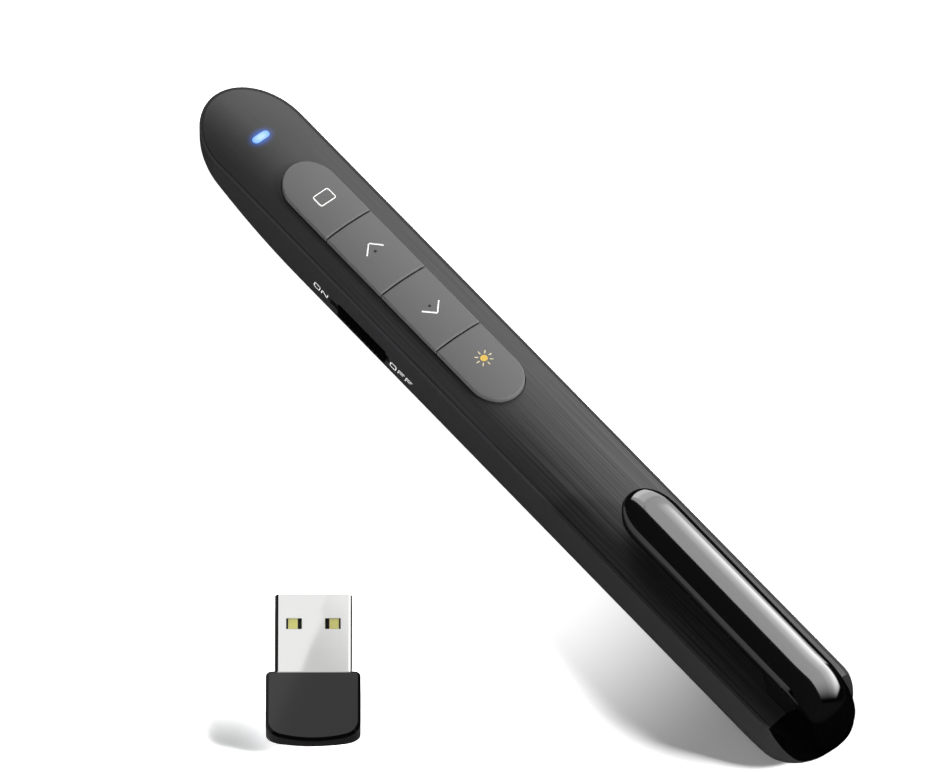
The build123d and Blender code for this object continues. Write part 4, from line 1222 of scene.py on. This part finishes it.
# ---- Studio --------------------------------------------------------------------------
def aimed(name: str, data: bpy.types.ID, place: Vector, direction: Vector) -> bpy.types.Object:
    """Puts a lamp or a camera in the scene and points it.

    Args:
        name: The object's name.
        data: The lamp's or the camera's data.
        place: Where it stands, in metres.
        direction: Which way it looks.

    Returns:
        The object.
    """
    thing = new_object(name, data)
    thing.location = place
    thing.rotation_mode = "QUATERNION"
    thing.rotation_quaternion = direction.to_track_quat("-Z", "Y")
    return thing


@dataclass
class Camera:
    """The camera, far off and long, so that it hardly converges."""

    azimuth: float = -39.0437
    elevation: float = 56.0
    distance: float = 3.0
    pixels_per_metre: float = 6393.92
    target: Place = (-0.000459, 0.010325, 0.006)
    image_width: int = 952
    sensor_width: float = 36.0
    clip_start: float = 0.1
    clip_end: float = 20.0

    def back(self) -> Vector:
        """Works out the way from the set to the camera.

        Returns:
            A direction one metre long.
        """
        turn = math.radians(self.azimuth)
        lift = math.radians(self.elevation)
        return Vector((math.sin(turn) * math.cos(lift), -math.cos(turn) * math.cos(lift),
                       math.sin(lift)))

    def build(self) -> None:
        """Makes the camera and lets the scene look through it."""
        data = bpy.data.cameras.new("camera")
        data.sensor_width = self.sensor_width
        data.lens = self.sensor_width * self.distance * self.pixels_per_metre / self.image_width
        data.clip_start = self.clip_start
        data.clip_end = self.clip_end
        bpy.context.scene.camera = aimed(
            "camera", data, Vector(self.target) + self.back() * self.distance, -self.back())


@dataclass
class Floor:
    """The white paper that the set lies on, with painted light to the camera that whitens away its
    shadows everywhere but behind the tail and round the receiver, and painted shade in mirrors
    near the body.
    """

    reach: float = 3.0
    colour: str = "#f4f4f4"
    # Painted light: camera rays see the paper up to this much brighter, which whitens away its
    # shadows; it fades out behind the tail and round the receiver's shadow.
    lift: float = 0.9
    painted_lift_y: Point = (-0.062, -0.018)
    shadow_place: Place = (-0.0705, -0.0158, 0.0)
    shadow_reach: Point = (0.002, 0.0115)
    shadow_painted_lift: float = 0.1
    # Painted shade in mirrors: the paper's brightness to mirror rays, dim close to the body's left
    # side and behind the tail, brighter farther left and ahead.
    mirrored: Point = (0.012, 0.14)
    painted_mirror_shade_x: Point = (-0.02, -0.07)
    painted_mirror_shade_y: Point = (-0.07, -0.04)

    def build(self) -> None:
        """Makes the floor and its paper."""
        corners = [(-self.reach, -self.reach, 0), (self.reach, -self.reach, 0),
                   (self.reach, self.reach, 0), (-self.reach, self.reach, 0)]
        thing = mesh_object("floor", corners, [(0, 1, 2, 3)])
        thing.data.materials.append(self.paper())
        LOG.info("%s laid", thing.name)

    def paper(self) -> bpy.types.Material:
        """Makes the paper: matt white, with painted light to the camera and painted shade in
        mirrors.

        Returns:
            The material.
        """
        paper = Shading("white_paper")
        matt = paper.add("ShaderNodeBsdfDiffuse", {}, {"Color": linear(self.colour)})
        path = paper.add("ShaderNodeLightPath")
        parts = paper.add("ShaderNodeSeparateXYZ", {}, {0: paper.place})
        # Painted light to the camera, held back behind the tail and round the receiver's shadow so
        # that only these shadows show.
        painted_lift_along = paper.add("ShaderNodeMapRange", {"interpolation_type": "SMOOTHSTEP"}, {
            "Value": parts.outputs["Y"], "From Min": self.painted_lift_y[0],
            "From Max": self.painted_lift_y[1], "To Max": self.lift})
        away = paper.add("ShaderNodeVectorMath", {"operation": "DISTANCE"}, {
            0: paper.place, 1: self.shadow_place})
        painted_lift_round_shadow = paper.add("ShaderNodeMapRange", {"interpolation_type": "SMOOTHSTEP"}, {
            "Value": away.outputs["Value"], "From Min": self.shadow_reach[0],
            "From Max": self.shadow_reach[1], "To Min": self.shadow_painted_lift})
        clear = paper.add("ShaderNodeMath", {"operation": "MULTIPLY"}, {0: painted_lift_along, 1: painted_lift_round_shadow})
        lift = paper.add("ShaderNodeMath", {"operation": "MULTIPLY"}, {
            0: path.outputs["Is Camera Ray"], 1: clear})
        both = paper.add("ShaderNodeAddShader", {}, {
            0: matt, 1: paper.add("ShaderNodeEmission", {}, {"Strength": lift})})
        # Painted shade in mirrors near the body and behind the tail.
        mirror_shade_across = paper.add("ShaderNodeMapRange", {}, {
            "Value": parts.outputs["X"], "From Min": self.painted_mirror_shade_x[0],
            "From Max": self.painted_mirror_shade_x[1], "To Min": self.mirrored[0],
            "To Max": self.mirrored[1]})
        mirror_shade_along = paper.add("ShaderNodeMapRange", {}, {
            "Value": parts.outputs["Y"], "From Min": self.painted_mirror_shade_y[0],
            "From Max": self.painted_mirror_shade_y[1]})
        level = paper.add("ShaderNodeMath", {"operation": "MULTIPLY"}, {0: mirror_shade_across, 1: mirror_shade_along})
        seen = paper.add("ShaderNodeMixShader", {}, {
            0: path.outputs["Is Glossy Ray"], 1: both,
            2: paper.add("ShaderNodeEmission", {}, {"Strength": level})})
        paper.add("ShaderNodeOutputMaterial", {}, {"Surface": seen})
        return paper.material


@dataclass
class Room:
    """The even light of the room, white to the eye and dim in mirrors."""

    level: float = 0.115
    mirrored: float = 0.012
    colour: str = "#ffffff"

    def build(self) -> None:
        """Makes the world."""
        world = bpy.data.worlds.new("room")
        bpy.context.scene.world = world
        world.use_nodes = True
        room = Wiring(world.node_tree)
        path = room.add("ShaderNodeLightPath")
        level = room.add("ShaderNodeMapRange", {}, {
            "Value": path.outputs["Is Glossy Ray"], "To Min": self.level,
            "To Max": self.mirrored})
        light, white = (room.add("ShaderNodeBackground", {}, {
            "Color": linear(self.colour), "Strength": strength}) for strength in (level, 1.0))
        seen = room.add("ShaderNodeMixShader", {}, {
            0: path.outputs["Is Camera Ray"], 1: light, 2: white})
        room.add("ShaderNodeOutputWorld", {}, {"Surface": seen})


class Card(Shading):
    """A lit card that only mirror-like faces see."""

    def __init__(self, name: str, corners: Sequence[Sequence[float]]) -> None:
        """Hangs the card, still dark.

        Args:
            name: The card's name.
            corners: Its four corners in metres.
        """
        super().__init__(name)
        thing = mesh_object(name, corners, [(0, 1, 2, 3)])
        thing.data.materials.append(self.material)
        thing.visible_camera = False
        thing.visible_diffuse = False
        thing.visible_shadow = False
        parts = self.add("ShaderNodeSeparateXYZ", {}, {0: self.place})
        self.across = parts.outputs["X"]
        self.along = parts.outputs["Y"]

    def light_up(self, level: bpy.types.Node) -> None:
        """Gives the card its brightness.

        Args:
            level: The node that works it out for each place on the card.
        """
        glow = self.add("ShaderNodeEmission", {}, {"Strength": level})
        self.add("ShaderNodeOutputMaterial", {}, {"Surface": glow})
        LOG.info("%s hung", self.material.name)

    def profile(self, stops: Sequence[Point]) -> bpy.types.Node:
        """Adds a curve of brightness across the card.

        Args:
            stops: Places across the card, in metres, and the brightness at each.

        Returns:
            The node that gives the brightness.
        """
        peak = max(level for _, level in stops)
        node = self.add("ShaderNodeValToRGB", {}, {0: self.across})
        marks = node.color_ramp.elements
        while len(marks) < len(stops):
            marks.new(0.5)
        for mark, (place, level) in zip(marks, stops):
            mark.position = place
            mark.color = (level / peak, level / peak, level / peak, 1.0)
        return self.add("ShaderNodeMath", {"operation": "MULTIPLY"}, {0: node, 1: peak})


@dataclass
class RightCard:
    """The large card on the right.

    Its near part lights the clip, with a bright core that fades towards the clip's nose. Its
    far part lights the cover, the keys and, where it is dimmer, the receiver, which sees a
    slanting edge between two tones.
    """

    left: Point = (0.13, 0.6)
    right: Point = (0.7, 0.1)
    ends: Point = (-0.9, 0.9)
    tail_stops: tuple[Point, ...] = ((0.13, 0.94), (0.3, 1.0), (0.38, 1.7), (0.45, 3.4),
                                     (0.51, 3.4), (0.62, 1.3))
    nose_stops: tuple[Point, ...] = ((0.13, 0.97), (0.3, 1.0), (0.47, 1.1), (0.62, 1.15))
    tail_y: Point = (0.217, 0.188)
    slant_direction: Place = (-0.35, 0.937, 0.0)
    slant_edge: Point = (0.1967, 0.1973)
    slant_tones: Point = (0.64, 0.93)
    dark_x: Point = (0.174, 0.184)
    cover_x: Point = (0.2, 0.23)
    cover_y: Point = (0.265, 0.33)
    cover_level: float = 1.35
    tip_y: Point = (0.4, 0.55)
    tip_level: float = 1.8
    border_x: Point = (0.19, 0.2)
    border_y: Point = (0.2435, 0.2605)
    border_width: float = 0.002
    near_fade_y: Point = (-0.75, -0.1)
    corner_y: Point = (0.17, 0.12)
    corner_x: Point = (0.48, 0.58)

    def build(self) -> None:
        """Hangs the card and lights it."""
        (left, high), (right, low) = self.left, self.right
        near, far = self.ends
        card = Card("right_card", [(left, near, high), (right, near, low), (right, far, low),
                                   (left, far, high)])
        border = card.add("ShaderNodeMapRange", {}, {
            "Value": card.across, "From Min": self.border_x[0], "From Max": self.border_x[1],
            "To Min": self.border_y[0], "To Max": self.border_y[1]})
        beyond = card.add("ShaderNodeMath", {"operation": "SUBTRACT"}, {
            0: card.along, 1: border})
        far_share = card.add("ShaderNodeMapRange", {}, {
            "Value": beyond, "From Max": self.border_width})
        level = card.add("ShaderNodeMix", {"data_type": "FLOAT"}, {
            0: far_share, 2: self.near_part(card), 3: self.far_part(card)})
        card.light_up(card.add("ShaderNodeMath", {"operation": "MULTIPLY"}, {
            0: self.shares(card), 1: level}))

    def near_part(self, card: Card) -> bpy.types.Node:
        """Adds the light for the clip.

        Args:
            card: The card.

        Returns:
            The node that gives the brightness.
        """
        tail_share = card.add("ShaderNodeMapRange", {"interpolation_type": "SMOOTHSTEP"}, {
            "Value": card.along, "From Min": self.tail_y[0], "From Max": self.tail_y[1]})
        return card.add("ShaderNodeMix", {"data_type": "FLOAT"}, {
            0: tail_share, 2: card.profile(self.nose_stops), 3: card.profile(self.tail_stops)})

    def far_part(self, card: Card) -> bpy.types.Node:
        """Adds the light for the receiver on its left and for the cover on its right.

        Args:
            card: The card.

        Returns:
            The node that gives the brightness.
        """
        dark, pale = self.slant_tones
        slant = card.add("ShaderNodeVectorMath", {"operation": "DOT_PRODUCT"}, {
            0: card.place, 1: self.slant_direction})
        darker = card.add("ShaderNodeMapRange", {}, {
            "Value": card.across, "From Min": self.dark_x[0], "From Max": self.dark_x[1],
            "To Min": dark, "To Max": pale})
        tones = card.add("ShaderNodeMapRange", {}, {
            "Value": slant.outputs["Value"], "From Min": self.slant_edge[0],
            "From Max": self.slant_edge[1], "To Min": darker, "To Max": pale})
        cover = card.add("ShaderNodeMapRange", {"interpolation_type": "SMOOTHSTEP"}, {
            "Value": card.along, "From Min": self.cover_y[0], "From Max": self.cover_y[1],
            "To Min": pale, "To Max": self.cover_level})
        tip_share = card.add("ShaderNodeMapRange", {"interpolation_type": "SMOOTHSTEP"}, {
            "Value": card.along, "From Min": self.tip_y[0], "From Max": self.tip_y[1]})
        body = card.add("ShaderNodeMix", {"data_type": "FLOAT"}, {
            0: tip_share, 2: cover, 3: self.tip_level})
        body_share = card.add("ShaderNodeMapRange", {}, {
            "Value": card.across, "From Min": self.cover_x[0], "From Max": self.cover_x[1]})
        return card.add("ShaderNodeMix", {"data_type": "FLOAT"}, {
            0: body_share, 2: tones, 3: body})

    def shares(self, card: Card) -> bpy.types.Node:
        """Adds how far the card is lit at all: its near end fades and its right corner is cut.

        Args:
            card: The card.

        Returns:
            The node that gives the share.
        """
        near_fade = card.add("ShaderNodeMapRange", {"interpolation_type": "SMOOTHSTEP"}, {
            "Value": card.along, "From Min": self.near_fade_y[0],
            "From Max": self.near_fade_y[1]})
        near_side = card.add("ShaderNodeMapRange", {}, {
            "Value": card.along, "From Min": self.corner_y[0], "From Max": self.corner_y[1]})
        right_end = card.add("ShaderNodeMapRange", {}, {
            "Value": card.across, "From Min": self.corner_x[0], "From Max": self.corner_x[1]})
        cut = card.add("ShaderNodeMath", {"operation": "MULTIPLY"}, {
            0: near_side, 1: right_end})
        kept = card.add("ShaderNodeMath", {"operation": "SUBTRACT"}, {0: near_fade, 1: cut})
        return card.add("ShaderNodeMath", {"operation": "MAXIMUM"}, {0: kept, 1: 0.0})


@dataclass
class LeftCard:
    """The low grey card on the left, which draws the line along the clip's side."""

    x: float = -0.45
    heights: Point = (0.0, 0.32)
    ends: Point = (0.0, 1.2)
    fade_y: Point = (0.055, 0.14)
    level: float = 0.17

    def build(self) -> None:
        """Stands the card up and lights it."""
        (near, far), (low, high) = self.ends, self.heights
        card = Card("left_card", [(self.x, near, low), (self.x, far, low), (self.x, far, high),
                                  (self.x, near, high)])
        card.light_up(card.add("ShaderNodeMapRange", {"interpolation_type": "SMOOTHSTEP"}, {
            "Value": card.along, "From Min": self.fade_y[0], "From Max": self.fade_y[1],
            "To Max": self.level}))


@dataclass(frozen=True)
class Lamp:
    """A soft rectangular lamp that points at the middle of the set and isn't mirrored."""

    name: str
    place: Place
    size: Point
    power: float

    def build(self) -> None:
        """Hangs the lamp."""
        data = bpy.data.lights.new(self.name, "AREA")
        data.shape = "RECTANGLE"
        data.size, data.size_y = self.size
        data.energy = self.power
        lamp = aimed(self.name, data, Vector(self.place), -Vector(self.place))
        lamp.visible_glossy = False


@dataclass(frozen=True)
class Spot:
    """A lamp that shines on a small round patch from where the camera stands."""

    name: str
    aim: Place
    reach: float
    power: float
    distance: float = 0.5
    softness: float = 0.4
    radius: float = 0.02

    def build(self, back: Vector) -> None:
        """Hangs the lamp.

        Args:
            back: The way from the set to the camera.
        """
        data = bpy.data.lights.new(self.name, "SPOT")
        data.energy = self.power
        data.spot_size = 2 * math.atan(self.reach / self.distance)
        data.spot_blend = self.softness
        data.shadow_soft_size = self.radius
        lamp = aimed(self.name, data, Vector(self.aim) + back * self.distance, -back)
        lamp.visible_glossy = False


@dataclass
class Studio:
    """Everything round the set: the camera, the floor, the room, the cards and the lamps."""

    main: Lamp = Lamp("main_lamp", (0.68, -0.98, 0.72), (0.2, 0.2), 41.0)
    fill: Lamp = Lamp("fill_lamp", (-0.95, -0.3, 0.2), (0.5, 0.3), 10.0)
    receiver: Spot = Spot("receiver_lamp", (-0.048, -0.008, 0.005), 0.009, 42.0)

    def build(self) -> None:
        """Sets up the whole studio."""
        camera = Camera()
        for thing in (camera, Floor(), Room(), RightCard(), LeftCard(), self.main, self.fill):
            thing.build()
        self.receiver.build(camera.back())
        bpy.context.scene.view_settings.view_transform = "Standard"


# ---- All together -------------------------------------------------------------------
def plain_nodes(palette: Palette) -> None:
    """Gives every CAD node that is shown as it is its material.

    Args:
        palette: The materials.
    """
    shown = {
        palette.gold: ("usb_contacts",),
        palette.board: ("main_board", "receiver_board"),
        palette.package: ("controller_chip", "receiver_chip", "voltage_regulator",
                          "tact_switches", "switch_lever"),
        palette.insulator: ("usb_tongue",),
        palette.steel: ("crystal", "receiver_crystal", "slide_switch", "laser_diode",
                        "battery_contact", "battery_spring", "board_screws", "case_screws"),
        palette.brass: ("laser_housing",),
        palette.glass: ("laser_lens", "laser_window"),
        palette.resin: ("status_led",),
        palette.sleeve: ("battery_cell",),
    }
    for material, nodes in shown.items():
        for node in nodes:
            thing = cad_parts[node]
            thing.data.materials.clear()
            thing.data.materials.append(material)


def main() -> None:
    """Builds the looks of the clicker and its receiver in order."""
    logging.basicConfig(level=logging.INFO, format="%(name)s: %(message)s")
    palette = Palette()
    Casing(palette).build()
    clip = PocketClip(palette)
    clip.build()
    clip.end_skin()
    Receiver(palette).build()
    Marks(palette).build()
    plain_nodes(palette)
    Studio().build()
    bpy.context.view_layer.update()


if __name__ == "__main__":
    main()
